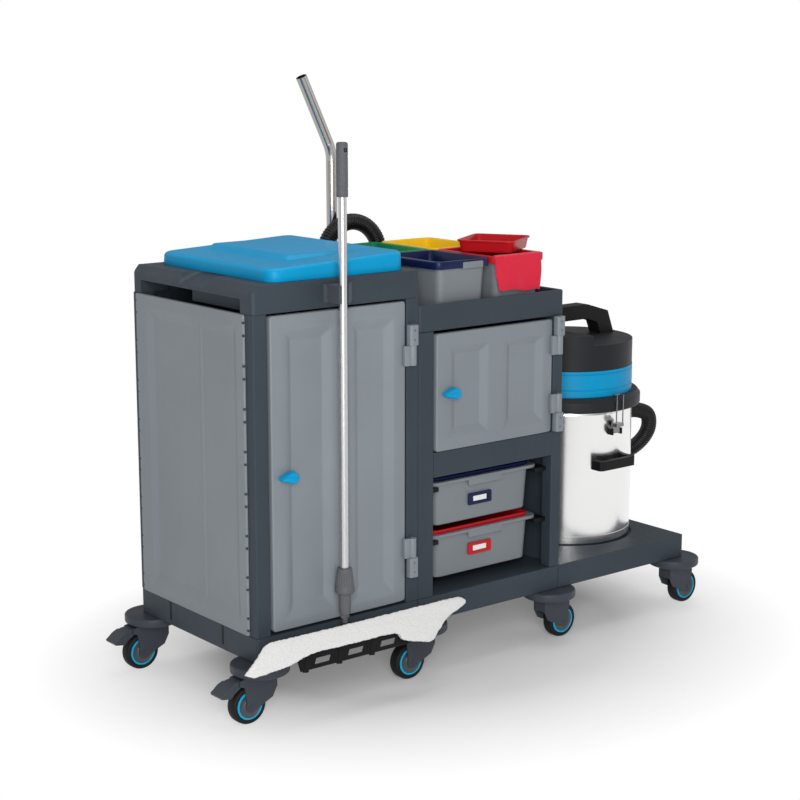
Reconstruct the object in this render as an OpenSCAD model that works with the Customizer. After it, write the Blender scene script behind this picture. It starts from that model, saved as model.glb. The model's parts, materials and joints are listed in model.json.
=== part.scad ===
// Janitor cart in millimetres, +Z up, front towards -Y.
// The origin lies on the floor under the middle of the three joined base trays.

/* [Modules] */
// Length of each of the three modules
module_w = 520; // [512:1:528]
// Depth of the modules, front to back
module_d = 560; // [552:1:568]
// Height of the base trays' underside above the floor
base_z = 151; // [149:1:155]
// Height of the base trays
base_h = 68; // [64:1:72]
// Wall thickness of the moulded trays
tray_wall = 6; // [5:0.5:8]
// Depth of the corner posts, front to back
post_d = 40; // [38:1:42]
// Thickness of the plain wall panels
panel_t = 5; // [4:0.5:6]
// Gap round the doors
door_gap = 5; // [4.5:0.5:6]
// Thickness of the doors
door_t = 16; // [14:1:18]
// How far the doors stand in front of the posts
door_proud = 5; // [4:0.5:6]
// Free gap between pieces that move on each other
move_gap = 0.3; // [0.3:0.05:0.5]
// Radial clearance of the turning fits
turn_fit = 0.1; // [0.05:0.01:0.1]

/* [Tall cabinet] */
// Top edge of the tall cabinet's walls
tall_top = 1036; // [1030:1:1044]
// Height of the frame on the tall cabinet
frame_h = 71; // [68:1:75]
// Width of the left posts
tall_post_l = 43; // [41:1:45]
// Width of the right posts
tall_post_r = 41; // [40:1:44]
// Width of the handle beam at the left end
handle_beam = 78; // [76:1:84]
// Height of the hand opening under the handle beam
hand_gap = 35; // [30:1:38]
// Height of the tall door's knob
tall_knob_z = 623; // [600:1:640]
// Height of the lid at its low left edge
lid_low = 33; // [30:1:36]
// Height of the lid at its high right edge
lid_high = 50; // [46:1:54]
// Gap from the left end to the lid
lid_inset = 70; // [68:1:72]

/* [Middle cabinet] */
// Top edge of the middle cabinet's walls
mid_top = 941; // [936:1:950]
// Height of the tray on the middle cabinet
tray_h = 71; // [66:1:74]
// Width of the left posts
mid_post_l = 52; // [50:1:54]
// Width of the right posts
mid_post_r = 37; // [36:1:40]
// Underside of the shelf's front rail
rail_z = 546; // [543:1:549]
// Height of the shelf's front rail
rail_h = 69; // [67:1:71]
// Height of the middle door's knob
mid_knob_z = 771; // [760:1:785]
// Mean gap between a drawer's rim and the posts beside it
drawer_side = 18.5; // [17.5:0.5:21]
// Width of a drawer's rim flange on each side
drawer_flange = 23; // [21:1:25]
// Depth of a drawer, front to back
drawer_d = 470; // [450:1:480]
// Height of a drawer
drawer_h = 125; // [120:1:126]
// Rim height of the upper drawer
upper_rim_z = 520; // [518:1:524]
// Rim height of the lower drawer
lower_rim_z = 373; // [370:1:376]

/* [Pails] */
// Outside width of a pail's rim
pail_w = 192; // [186:1:194]
// Gap between the pails and the tray's front and rear walls
pail_margin = 14; // [12:1:18]
// Height of a pail
pail_h = 161; // [155:1:165]
// Wall thickness of the pails
pail_wall = 3; // [2.5:0.5:4]
// Gap between one pail and the next
pail_gap = 8; // [6:1:10]
// Height of the coloured rim band
rim_band = 20; // [18:1:22]
// Length of the loose tray
loose_w = 185; // [180:1:188]
// Width of the loose tray
loose_d = 165; // [160:1:168]
// Height of the loose tray
loose_h = 34; // [30:1:38]
// Turn of the loose tray on its pail
loose_turn = 32; // [29:1:34]

/* [Casters] */
// Radius of the wheels
wheel_r = 50; // [48:1:52]
// Width of the wheels
wheel_w = 36; // [34:1:38]
// Distance from a swivel axis to its wheel axle
caster_trail = 42; // [40:1:44]
// Distance from a swivel axis to the module's edges
caster_inset = 20; // [18:1:24]
// Radius of the bumper discs
bumper_r = 76; // [73:1:79]
// Thickness of the bumper discs
bumper_t = 24; // [22:1:25]

/* [Vacuum] */
// Radius of the steel drum
drum_r = 195; // [190:1:198]
// Height of the steel drum
drum_h = 412; // [400:2:420]
// Depth of the drum's seat in the platform
seat_depth = 11; // [8:1:12]
// How far the black rim stands out from the drum
rim_out = 24; // [22:1:26]
// Height of the black rim
rim_h = 43; // [40:1:46]
// Height of the blue band
band_h = 77; // [72:1:82]
// Height of the motor head above the band
head_h = 76; // [70:1:82]
// Radius of the wand's tube
wand_r = 16; // [15:0.5:17]
// Outside radius of the hose over its ribs
hose_r = 24; // [23:0.5:25]
// Inside radius of the hose
hose_bore_r = 18; // [17:0.5:19]

/* [Mop] */
// Radius of the mop's pole
pole_r = 11; // [10:0.5:11.5]
// Top end of the mop's grip
mop_top = 1445; // [1400:5:1480]
// Distance of the pole from the cabinet's front
pole_out = 45; // [44:1:48]
// Slope of the mop head from level
mop_slope = 60; // [58:1:62]

/* [Hidden] */
$fn = 48;
e = 0.01;
seam = 0.2;
front = -module_d / 2;
back = module_d / 2;
tall_x = -1.5 * module_w;
mid_x = -0.5 * module_w;
vac_x = 0.5 * module_w;
base_top = base_z + base_h;
frame_top = tall_top + frame_h;
tray_top = mid_top + tray_h;
tray_floor = mid_top + 11;
tray_rim = 12;
shelf_top = rail_z + rail_h;
tall_in_l = tall_x + tall_post_l;
tall_in_r = mid_x - tall_post_r;
mid_in_l = mid_x + mid_post_l;
mid_in_r = vac_x - mid_post_r;

// Doors, hinges and knobs
hinge_out = 11;
hinge_side = 16;
hinge_r = 10.5;
hinge_half = 53;
pin_r = 4;
pin_len = 26;
tall_door_l = tall_in_l + door_gap;
tall_door_r = tall_in_r - door_gap;
tall_door_b = base_top + 9;
tall_door_t = tall_top - 6;
mid_door_l = mid_in_l + door_gap;
mid_door_r = mid_in_r - door_gap;
mid_door_b = shelf_top + 1;
mid_door_t = mid_top - 8;
hinge_y = front - hinge_out;
tall_hinge_x = tall_door_r + hinge_side;
mid_hinge_x = mid_door_r + hinge_side;
// Lower edge of the lower hinge and upper edge of the upper hinge
tall_hinge_z = [tall_door_b + 65, tall_door_t - 62];
mid_hinge_z = [mid_door_b + 1, mid_door_t + 8];
knob_in = 54;
knob_r = 19;
knob_tip = 37;
knob_h = 24;
spindle_r = 6;
channel_d = 7;
tongue_len = knob_in + door_gap + 7;

// Handle beam: sloped upper edge, finger pocket, hand opening behind it and scoop
beam_slope = [20, 23];
pocket_d = 30;
pocket_end = 34;
scoop_h = 25;
scoop_slope = 19;

// Lid
lid_l = tall_x + lid_inset;
lid_r = mid_x - 25;
lid_d = module_d - 40;
lid_b = frame_top + move_gap;
lid_axis = [mid_x - 15, frame_top + 10];
lid_lugs = [-150, 150];

// Drawers
drawer_x = (mid_in_l + mid_in_r) / 2 - 2.5;
drawer_rim_w = mid_in_r - mid_in_l - 2 * drawer_side;
drawer_body_w = drawer_rim_w - 2 * drawer_flange;
drawer_y0 = front + 30;
drawer_rim_t = 9;
runner_h = 12;
tub_below = 60;
tub_h = 69;
label_w = 84;
label_h = 33;

// Pails, counted front-left, front-right, back-left, back-right
pail_d = (module_d - 2 * tray_rim - 2 * pail_margin - pail_gap) / 2;
pail_pitch_x = pail_w + pail_gap;
pail_pitch_y = pail_d + pail_gap;
pail_x = [20 - pail_pitch_x / 2, 20 + pail_pitch_x / 2];
pail_y = [-pail_pitch_y / 2, pail_pitch_y / 2];
pail_b = tray_floor + move_gap;
pail_rim_z = pail_b + pail_h;
liner_t = 2.5;
liner_seat = pail_rim_z + seam;
liner_top = liner_seat + liner_t;
liner_depth = 100;
pail_flange = 10;
loose_c = [pail_x[1] + 23, pail_y[0] + 12];
loose_b = liner_top + move_gap;

// Casters, counted from the left along the front and then along the back
caster_xs = [tall_x + caster_inset, mid_x + caster_inset, vac_x - caster_inset, 1.5 * module_w - caster_inset];
caster_y = back - caster_inset;
bumper_b = base_z - bumper_t;
fork_top = bumper_b - move_gap;
fork_half = wheel_w / 2 + 6;
stem_r = 8;
axle_r = 5;
pedal_axis = [68, 114];
function caster_at(i) = [caster_xs[i % 4], i < 4 ? -caster_y : caster_y, 0];
function caster_turn(i) = i % 4 < 2 ? 180 : 0;

// Vacuum
vac_c = [vac_x + module_w / 2 + 32, 0];
drum_b = base_top - seat_depth;
drum_top = drum_b + drum_h;
rim_top = drum_top + rim_h;
band_top = rim_top + band_h;
head_top = band_top + head_h;
rim_r = drum_r + rim_out;
band_r = drum_r - 2;
head_r = drum_r - 3;
latch_z = drum_top - 62;
latch_y = drum_r + 12;
bail_y = rim_r + 3;
bail_z = rim_top + 4.2;
grip_z = drum_b + 240;
grip_h = 28;
inlet_z = 558;
inlet_turn = -5;
inlet_len = drum_r + 30;
wand_in = 197;
wand_out = 80;
wand_at = [mid_x + wand_in, back + wand_out];
wand_b = 480;
wand_bend_z = 1345;
wand_bend_r = 120;
wand_bend = 26;
wand_tip = 211;
// The tip's tube starts inside the bend and is drawn a little finer
wand_lap = 0.5;
wand_step = 0.05;
hose_out = 32;
hose_y = back + hose_out;
hose_end_z = 700;
hose_up_x = 73;
hose_down_x = -130;
cuff_len = 90;
wand_ring_z = 560;
wand_ring_h = 36;
hose_ring_h = 28;

// Hose route from the drum's inlet to the free cuff behind the tall cabinet
inlet_dir = [cos(inlet_turn), sin(inlet_turn), 0];
hose_start = [vac_c[0], vac_c[1], inlet_z] + inlet_len * inlet_dir;
hose_route = [
    hose_start,
    hose_start + 50 * inlet_dir,
    [884, -20, 536], [908, -4, 488], [906, 26, 440], [884, 68, 400], [838, 118, 374],
    [764, 172, 360], [676, 222, 358], [578, 264, 366], [476, 294, 386], [374, 310, 420],
    [278, hose_y, 474], [194, hose_y, 550], [128, hose_y, 640], [88, hose_y, 745], [74, hose_y, 855],
    [hose_up_x, hose_y, 965], [hose_up_x, hose_y, 1070], [59.4, hose_y, 1121],
    [22.2, hose_y, 1158], [-28.5, hose_y, 1172],
    [-79.2, hose_y, 1158], [-116.4, hose_y, 1121], [hose_down_x, hose_y, 1070],
    [hose_down_x, hose_y, 965],
    [hose_down_x, hose_y, 860], [hose_down_x, hose_y, hose_end_z + 50], [hose_down_x, hose_y, hose_end_z]
];
ribs_per_span = 4;

// Mop
pole_in = 240;
pole_b = 311;
grip_len = 133;
grip_r = 14.5;
collar_h = 68;
collar_r = 22.5;
socket_r = 13.5;
// Free height over the tilting axis, which the tilted cloth passes below
socket_lift = 32;
pole_at = [tall_x + pole_in, front - pole_out];
mop_axis = [front - pole_out, base_z + 64];
mop_edge = [front - pole_out - 17, base_z + 75];
clip_h = 45;
clip_arm = 7;
clip_plate = [-29, 54];
mop_plate_t = 6;
mop_cloth_t = 12;

dark = [0.22, 0.25, 0.28];
grey = [0.52, 0.55, 0.57];
blue = [0.0, 0.55, 0.76];
navy = [0.06, 0.12, 0.25];
red = [0.72, 0.12, 0.14];
black = [0.07, 0.07, 0.08];
steel = [0.85, 0.86, 0.87];

// Box given by its two corners
module block(a, b) {
    translate(a)
        cube(b - a);
}

// Rectangle with true arc corners, about its middle
module soft_rect(w, d, r) {
    square([w - 2 * r, d], center = true);
    square([w, d - 2 * r], center = true);
    for (sx = [-1, 1], sy = [-1, 1])
        translate([sx * (w / 2 - r), sy * (d / 2 - r)])
            circle(r = r);
}

// Upright box with rounded upright edges, given by its two corners
module slab(a, b, r) {
    translate([(a[0] + b[0]) / 2, (a[1] + b[1]) / 2, a[2]])
        linear_extrude(b[2] - a[2])
            soft_rect(b[0] - a[0], b[1] - a[1], r);
}

// Board in the XZ plane with rounded corners, given by its two corners
module board(a, b, r) {
    translate([(a[0] + b[0]) / 2, b[1], (a[2] + b[2]) / 2])
        rotate([90, 0, 0])
            linear_extrude(b[1] - a[1])
                soft_rect(b[0] - a[0], b[2] - a[2], r);
}

// Outline in the XZ plane carried along Y from y0 to y1
module carried(points, y0, y1) {
    translate([0, y1, 0])
        rotate([90, 0, 0])
            linear_extrude(y1 - y0)
                polygon(points);
}

// Round bar along X or Y between two ends
module bar_x(x0, x1, y, z, r) {
    translate([x0, y, z])
        rotate([0, 90, 0])
            cylinder(h = x1 - x0, r = r);
}

module bar_y(x, y0, y1, z, r) {
    translate([x, y0, z])
        rotate([-90, 0, 0])
            cylinder(h = y1 - y0, r = r);
}

// Base tray, open below, with solid bosses over its casters
module base_tray(x0, deck_t, casters) {
    difference() {
        slab([x0, front, base_z], [x0 + module_w, back, base_top], 8);
        slab([x0 + tray_wall, front + tray_wall, base_z - 1],
            [x0 + module_w - tray_wall, back - tray_wall, base_top - deck_t], 4);
    }
    block([x0 + module_w / 2 - 3, front + e, base_z + 12],
        [x0 + module_w / 2 + 3, back - e, base_top - deck_t + e]);
    block([x0 + e, -3, base_z + 12], [x0 + module_w - e, 3, base_top - deck_t + e]);
    intersection() {
        slab([x0, front, base_z], [x0 + module_w, back, base_top - deck_t + e], 8);
        union() {
            for (i = casters)
                translate(caster_at(i) + [0, 0, base_z])
                    cylinder(h = base_h, r = 34);
        }
    }
}

module tall_base() {
    color(dark)
        difference() {
            base_tray(tall_x, tray_wall, [0, 4]);
            for (y = [front + 159, front + 412])
                block([tall_x - 1, y - 5, base_z + 14], [tall_x + 4.5, y + 5, base_top + 1]);
        }
}

module mid_base() {
    color(dark)
        base_tray(mid_x, tray_wall, [1, 2, 5, 6]);
}

module vac_platform() {
    color(dark)
        difference() {
            base_tray(vac_x, seat_depth + 8, [3, 7]);
            translate([vac_c[0], vac_c[1], drum_b])
                cylinder(h = seat_depth + 1, r = drum_r + 7, $fn = 96);
            for (y = [back - 170, back - 110])
                block([vac_x + module_w - 5, y, base_top - 6], [vac_x + module_w + 1, y + 24, base_top + 1]);
        }
}

// Four posts of one cabinet
module four_posts(x0, wl, wr, top) {
    for (y = [front, back - post_d]) {
        slab([x0 + seam, y, base_top], [x0 + wl, y + post_d, top], 4);
        slab([x0 + module_w - wr, y, base_top], [x0 + module_w - seam, y + post_d, top], 4);
    }
}

module corner_posts() {
    color(dark) {
        four_posts(tall_x, tall_post_l, tall_post_r, tall_top);
        four_posts(mid_x, mid_post_l, mid_post_r, mid_top);
    }
}

module tall_top_frame() {
    color(dark)
        difference() {
            intersection() {
                slab([tall_x, front, tall_top], [mid_x, back, frame_top], 12);
                carried([[tall_x, tall_top], [mid_x, tall_top], [mid_x, frame_top], [tall_x + beam_slope[0], frame_top],
                    [tall_x, frame_top - beam_slope[1]]], front, back);
            }
            slab([tall_x + handle_beam, front + 44, tall_top - 1], [mid_x - 44, back - 44, frame_top + 1], 14);
            block([tall_x - 1, front + 52, tall_top - 1], [tall_x + pocket_d, pocket_end, tall_top + hand_gap]);
            block([tall_x - 1, pocket_end - e, tall_top - 1],
                [tall_x + handle_beam + 1, back - 41, tall_top + hand_gap]);
            translate([tall_x, -8, frame_top - scoop_h])
                rotate([0, -scoop_slope, 0])
                    translate([-20, 0, 40])
                        rotate([90, 0, 90])
                            linear_extrude(handle_beam + 20)
                                soft_rect(132, 80, 20);
        }
}

module mid_top_tray() {
    color(dark)
        difference() {
            slab([mid_x, front, mid_top], [vac_x, back, tray_top], 10);
            slab([mid_x + tray_rim, front + tray_rim, tray_floor], [vac_x - tray_rim, back - tray_rim, tray_top + 1], 8);
        }
}

module mid_shelf() {
    color(dark) {
        block([mid_in_l, front, rail_z], [mid_in_r, front + 18, shelf_top]);
        block([mid_in_l, front + 18 - e, shelf_top - 9], [mid_in_r, back - 10, shelf_top]);
    }
}

module end_panel() {
    color(grey)
        difference() {
            block([tall_x - panel_t, front + 33, base_top], [tall_x, back - 20, tall_top - 1]);
            for (y = [front + 70, front + 287])
                block([tall_x - panel_t - 1, y, base_top + 44], [tall_x - panel_t + 2, y + 203, tall_top - 56]);
            for (k = [0 : 7], d = [0, 32])
                block([tall_x - panel_t - 1, front + 32, tall_top - 24 - 107 * k - d],
                    [tall_x + 1, front + 39, tall_top - 17 - 107 * k - d]);
        }
}

module inner_panels() {
    color(grey) {
        block([tall_in_l, back - 10, base_top], [tall_in_r, back - 10 + panel_t, tall_top]);
        block([mid_x - panel_t, front + post_d, base_top], [mid_x, back - post_d, tall_top]);
        block([mid_in_l, back - 10, base_top], [mid_in_r, back - 10 + panel_t, mid_top]);
        block([vac_x - panel_t, front + post_d, base_top], [vac_x, back - post_d, mid_top]);
    }
}

// Fixed hinge half with its pin; up is 1 where the pin points up
module fixed_leaf(x, z, up) {
    slab([x - 14, front - 22, z], [x + 14, front, z + hinge_half], 6);
    translate([x, hinge_y, up > 0 ? z + hinge_half - e : z - pin_len + e])
        cylinder(h = pin_len, r = pin_r);
}

module hinge_leaves() {
    color(grey) {
        fixed_leaf(tall_hinge_x, tall_hinge_z[0], 1);
        fixed_leaf(tall_hinge_x, tall_hinge_z[1] - hinge_half, -1);
        fixed_leaf(mid_hinge_x, mid_hinge_z[0], 1);
        fixed_leaf(mid_hinge_x, mid_hinge_z[1] - hinge_half, -1);
        for (y = lid_lugs) {
            for (s = [-1, 1])
                block([lid_axis[0] - 6, y + s * 27 - 5, frame_top],
                    [lid_axis[0] + 6, y + s * 27 + 5, lid_axis[1] + 6]);
            bar_y(lid_axis[0], y - 24, y + 24, lid_axis[1], 3);
        }
    }
}

// Door board with its two hinge knuckles
module door_board(l, r, b, t, hinge_x, hinge_z) {
    difference() {
        union() {
            board([l, front - door_proud, b], [r, front - door_proud + door_t, t], 7);
            for (z = [hinge_z[0] + hinge_half + move_gap, hinge_z[1] - 2 * hinge_half - move_gap]) {
                translate([hinge_x, hinge_y, z])
                    cylinder(h = hinge_half, r = hinge_r);
                block([r - 12, hinge_y - 4, z], [hinge_x, front - door_proud + 2, z + hinge_half]);
            }
        }
        for (z = [hinge_z[0] + hinge_half, hinge_z[1] - hinge_half - pin_len - 2])
            translate([hinge_x, hinge_y, z - 1])
                cylinder(h = pin_len + 3, r = pin_r + turn_fit);
        bar_y(l + knob_in, front - door_proud - 1, front + door_t, (b == mid_door_b ? mid_knob_z : tall_knob_z),
            spindle_r + turn_fit);
    }
}

// Shallow upright channel pressed into a door's face
module door_channel(x, w, b, t) {
    board([x, front - door_proud - 1, b], [x + w, front - door_proud + channel_d, t], 12);
}

module tall_door() {
    color(grey)
        difference() {
            door_board(tall_door_l, tall_door_r, tall_door_b, tall_door_t, tall_hinge_x, tall_hinge_z);
            door_channel(tall_door_l + 60, 99, tall_door_b + 42, tall_door_t - 50);
            door_channel(tall_door_l + 270, 102, tall_door_b + 42, tall_door_t - 50);
        }
}

module mid_door() {
    color(grey)
        difference() {
            door_board(mid_door_l, mid_door_r, mid_door_b, mid_door_t, mid_hinge_x, mid_hinge_z);
            door_channel(mid_door_l + 62, 95, mid_door_b + 50, mid_door_t - 36);
            door_channel(mid_door_l + 247, 101, mid_door_b + 50, mid_door_t - 36);
        }
}

// Turn knob with its spindle and latch tongue; the tongue hangs free at rest
module turn_knob(x, z) {
    y1 = front - door_proud - move_gap;
    y2 = front + post_d + 1;
    bar_y(x, y1 - knob_h, y1, z, knob_r);
    carried([[x, z + 15], [x, z - 15], [x - knob_tip, z - 7], [x - knob_tip, z + 7]], y1 - knob_h + 4, y1);
    bar_y(x, y1 - 2, y2 + 5, z, spindle_r);
    block([x - 7, y2, z - tongue_len], [x + 7, y2 + 5, z + 9]);
}

module tall_knob() {
    color(blue)
        turn_knob(tall_door_l + knob_in, tall_knob_z);
}

module mid_knob() {
    color(blue)
        turn_knob(mid_door_l + knob_in, mid_knob_z);
}

module waste_lid() {
    color(blue)
        difference() {
            union() {
                intersection() {
                    slab([lid_l, -lid_d / 2, lid_b], [lid_r, lid_d / 2, lid_b + lid_high + 20], 34);
                    carried([[lid_l, lid_b], [lid_r, lid_b], [lid_r, lid_b + lid_high - 10], [lid_r - 12, lid_b + lid_high],
                        [lid_l + 14, lid_b + lid_low], [lid_l, lid_b + lid_low - 9]], -lid_d / 2, lid_d / 2);
                }
                intersection() {
                    slab([lid_l + 130, -lid_d / 2 + 110, lid_b], [lid_r - 40, lid_d / 2 - 50, lid_b + lid_high + 20], 24);
                    carried([[lid_l + 130, lid_b], [lid_r, lid_b], [lid_r, lid_b + lid_high],
                        [lid_l + 142, lid_b + lid_high], [lid_l + 130, lid_b + lid_high - 10]], -lid_d / 2, lid_d / 2);
                }
                for (y = lid_lugs) {
                    bar_y(lid_axis[0], y - 21, y + 21, lid_axis[1], 7);
                    block([lid_r - 8, y - 21, lid_axis[1] - 2], [lid_axis[0], y + 21, lid_axis[1] + 7]);
                }
            }
            intersection() {
                slab([lid_l + 4, -lid_d / 2 + 4, lid_b - 1], [lid_r - 4, lid_d / 2 - 4, lid_b + lid_high + 20], 30);
                carried([[lid_l, lid_b - 1], [lid_r, lid_b - 1], [lid_r, lid_b + lid_high - 5],
                    [lid_l, lid_b + lid_low - 5]], -lid_d / 2, lid_d / 2);
            }
            for (y = lid_lugs)
                bar_y(lid_axis[0], y - 30, y + 30, lid_axis[1], 3 + turn_fit);
        }
}

// Open tub with a rim flange, standing on z
module tub(x, y0, d, body_w, rim_w, z, h, rim_t, t, r) {
    flange = (rim_w - body_w) / 2;
    difference() {
        union() {
            slab([x - body_w / 2, y0 + flange / 2, z], [x + body_w / 2, y0 + d - flange / 2, z + h], r);
            slab([x - rim_w / 2, y0, z + h - rim_t], [x + rim_w / 2, y0 + d, z + h], r + 4);
        }
        slab([x - body_w / 2 + t, y0 + flange / 2 + t, z + t],
            [x + body_w / 2 - t, y0 + d - flange / 2 - t, z + h + 1], r - t);
    }
}

module drawer_tub(rim_z) {
    tub(drawer_x, drawer_y0, drawer_d, drawer_body_w, drawer_rim_w, rim_z - drawer_h, drawer_h,
        drawer_rim_t, 3, 22);
    block([drawer_x - 62, drawer_y0, rim_z - 24], [drawer_x + 62, drawer_y0 + 5, rim_z - drawer_rim_t + 1]);
}

// Label frame on the drawer's front wall
module label_frame(z) {
    y = drawer_y0 + drawer_flange / 2;
    difference() {
        board([drawer_x - 14 - label_w / 2, y - 4, z - label_h / 2],
            [drawer_x - 14 + label_w / 2, y, z + label_h / 2], 4);
        board([drawer_x - 10 - label_w / 2, y - 5, z - label_h / 2 + 4],
            [drawer_x - 18 + label_w / 2, y - 1.5, z + label_h / 2 - 4], 2);
    }
}

// Coloured tub that hangs in a drawer by its rim
module drawer_liner(rim_z) {
    w = drawer_body_w;
    tub(drawer_x, drawer_y0 + 15, drawer_d - 30, w - 8, w + 8, rim_z - tub_below, tub_h, 9, 2.5, 18);
}

module upper_drawer() {
    color(grey)
        drawer_tub(upper_rim_z);
}

module upper_drawer_trim() {
    color(navy) {
        label_frame(upper_rim_z - 66);
        drawer_liner(upper_rim_z);
    }
}

module lower_drawer() {
    color(grey)
        drawer_tub(lower_rim_z);
}

module lower_drawer_trim() {
    color(red) {
        label_frame(lower_rim_z - 60);
        drawer_liner(lower_rim_z);
    }
}

module drawer_runners() {
    color(black)
        for (z = [upper_rim_z, lower_rim_z], s = [0, 1]) {
            top = z - drawer_rim_t - move_gap;
            x0 = s == 0 ? mid_in_l : drawer_x + drawer_body_w / 2 + 2;
            x1 = s == 0 ? drawer_x - drawer_body_w / 2 - 2 : mid_in_r;
            block([x0, front + 22, top - runner_h], [x1, back - 14, top]);
        }
}

// Grey pail with a front lug
module pail(i, j) {
    x = pail_x[i];
    y0 = pail_y[j] - pail_d / 2 + 5;
    tub(x, y0, pail_d - 10, pail_w - 2 * pail_flange - 6, pail_w - 10, pail_b, pail_h, 6, pail_wall, 20);
    block([x + 28 - 36, y0 - 5, pail_rim_z - rim_band], [x + 28 + 36, y0 + 6, pail_rim_z - 1]);
}

// Coloured liner whose rim hangs over the pail's rim
module liner(i, j) {
    x = pail_x[i];
    y = pail_y[j];
    in_w = pail_w - 2 * pail_flange - 6 - 2 * pail_wall - 1;
    in_d = pail_d - 10 - pail_flange + 2 - 2 * pail_wall - 1;
    difference() {
        union() {
            slab([x - pail_w / 2, y - pail_d / 2, liner_top - rim_band], [x + pail_w / 2, y + pail_d / 2, liner_top], 26);
            slab([x - in_w / 2, y - in_d / 2, liner_top - liner_depth], [x + in_w / 2, y + in_d / 2, liner_top], 16);
        }
        difference() {
            slab([x - pail_w / 2 + 4, y - pail_d / 2 + 4, liner_top - rim_band - 1],
                [x + pail_w / 2 - 4, y + pail_d / 2 - 4, liner_seat], 22);
            slab([x - in_w / 2, y - in_d / 2, liner_top - liner_depth], [x + in_w / 2, y + in_d / 2, liner_top], 16);
        }
        slab([x - in_w / 2 + liner_t, y - in_d / 2 + liner_t, liner_top - liner_depth + liner_t],
            [x + in_w / 2 - liner_t, y + in_d / 2 - liner_t, liner_top + 1], 14);
        block([x + 28 - 37, y - pail_d / 2 - 1, liner_top - rim_band - 1],
            [x + 28 + 37, y - pail_d / 2 + 12, liner_seat]);
    }
}

module navy_pail() {
    color(grey)
        pail(0, 0);
}

module navy_liner() {
    color(navy)
        liner(0, 0);
}

module red_pail() {
    color(grey)
        pail(1, 0);
}

module red_liner() {
    color(red)
        liner(1, 0);
}

module green_pail() {
    color(grey)
        pail(0, 1);
    color([0.13, 0.55, 0.25])
        liner(0, 1);
}

module yellow_pail() {
    color(grey)
        pail(1, 1);
    color([0.95, 0.75, 0.12])
        liner(1, 1);
}

module red_tray() {
    color(red)
        translate([loose_c[0], loose_c[1], 0])
            rotate([0, 0, loose_turn])
                tub(0, -loose_d / 2, loose_d, loose_w - 14, loose_w, loose_b, loose_h, 5, 2.5, 14);
}

module red_cloth() {
    y = pail_y[0] - pail_d / 2;
    color([0.9, 0.1, 0.16]) {
        block([pail_x[1] - 88, y - 6, pail_b + 72], [pail_x[1] + 82, y - 0.05, liner_top + 4]);
        block([pail_x[1] - 88, y - 1, liner_top], [pail_x[1] + 82, y + 15, liner_top + 4]);
        block([pail_x[1] - 60, y + 17, liner_top - 50], [pail_x[1] + 60, y + 20, liner_top + 4]);
        block([pail_x[1] - 60, y + 14, liner_top + 1], [pail_x[1] + 60, y + 18, liner_top + 4]);
    }
}

module caster_bumpers() {
    color(dark)
        for (i = [0 : 7])
            translate(caster_at(i) + [0, 0, bumper_b])
                difference() {
                    rotate_extrude()
                        polygon([[0, 0], [bumper_r - 6, 0], [bumper_r, 6], [bumper_r, bumper_t - 5],
                            [bumper_r - 5, bumper_t], [0, bumper_t]]);
                    translate([0, 0, -1])
                        cylinder(h = bumper_t - 3, r = stem_r + turn_fit);
                }
}

// Swivel fork with stem and axle, trailing towards +X; pedal forks carry two lugs
module fork(i, lugs) {
    a = [caster_trail, wheel_r];
    w = fork_half;
    color(black)
        translate(caster_at(i))
            rotate([0, 0, caster_turn(i)]) {
                for (s = [-1, 1])
                    translate([0, s * (w - 2) + 2, 0])
                        rotate([90, 0, 0])
                            linear_extrude(4) {
                                polygon([[-36, fork_top], [57, fork_top], [61, 100], [a[0] + 14, a[1] + 6],
                                    [a[0] - 9, a[1] - 13], [-22, 62], [-36, 88]]);
                                translate(a)
                                    circle(r = 16);
                                if (lugs)
                                    polygon([[50, fork_top], [76, 122], [76, 107], [56, 102]]);
                            }
                block([-36, -w, fork_top - 20], [57, w, fork_top]);
                block([-36, -w, 88], [-29, w, fork_top]);
                translate([0, 0, fork_top - 1])
                    cylinder(h = bumper_t - 4, r = stem_r);
                bar_y(a[0], -w - 2, w + 2, a[1], axle_r);
                if (lugs)
                    bar_y(pedal_axis[0], -w, w, pedal_axis[1], 4);
            }
}

// Wheel with tyre shoulders and a ring groove on both faces
module wheel(i) {
    h = wheel_w / 2;
    r = wheel_r;
    b = axle_r + turn_fit;
    color(black)
        translate(caster_at(i))
            rotate([0, 0, caster_turn(i)])
                translate([caster_trail, 0, wheel_r])
                    rotate([90, 0, 0])
                        rotate_extrude()
                            polygon([[b, -h], [18, -h], [20, 3 - h], [r - 16, 3 - h], [r - 14, 1 - h], [r - 8, 1 - h],
                                [r, 6 - h], [r, h - 6], [r - 8, h - 1], [r - 14, h - 1], [r - 16, h - 3],
                                [20, h - 3], [18, h], [b, h]]);
}

// Brake pedal between the fork's lugs
module pedal(i) {
    p = pedal_axis;
    w = fork_half - 4.5;
    color(black)
        translate(caster_at(i))
            rotate([0, 0, caster_turn(i)])
                difference() {
                    union() {
                        bar_y(p[0], -w, w, p[1], 8);
                        carried([[p[0], p[1] + 8], [92, 119], [112, 110], [124, 100], [131, 94], [106, 86], [92, 91],
                            [p[0], p[1] - 8]], -w, w);
                        carried([[96, 117], [112, 110], [124, 100], [133, 93], [131, 88], [118, 86], [104, 84], [96, 92]],
                            -w - 6, w + 6);
                    }
                    bar_y(p[0], -w - 1, w + 1, p[1], 4 + turn_fit);
                }
}

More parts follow.
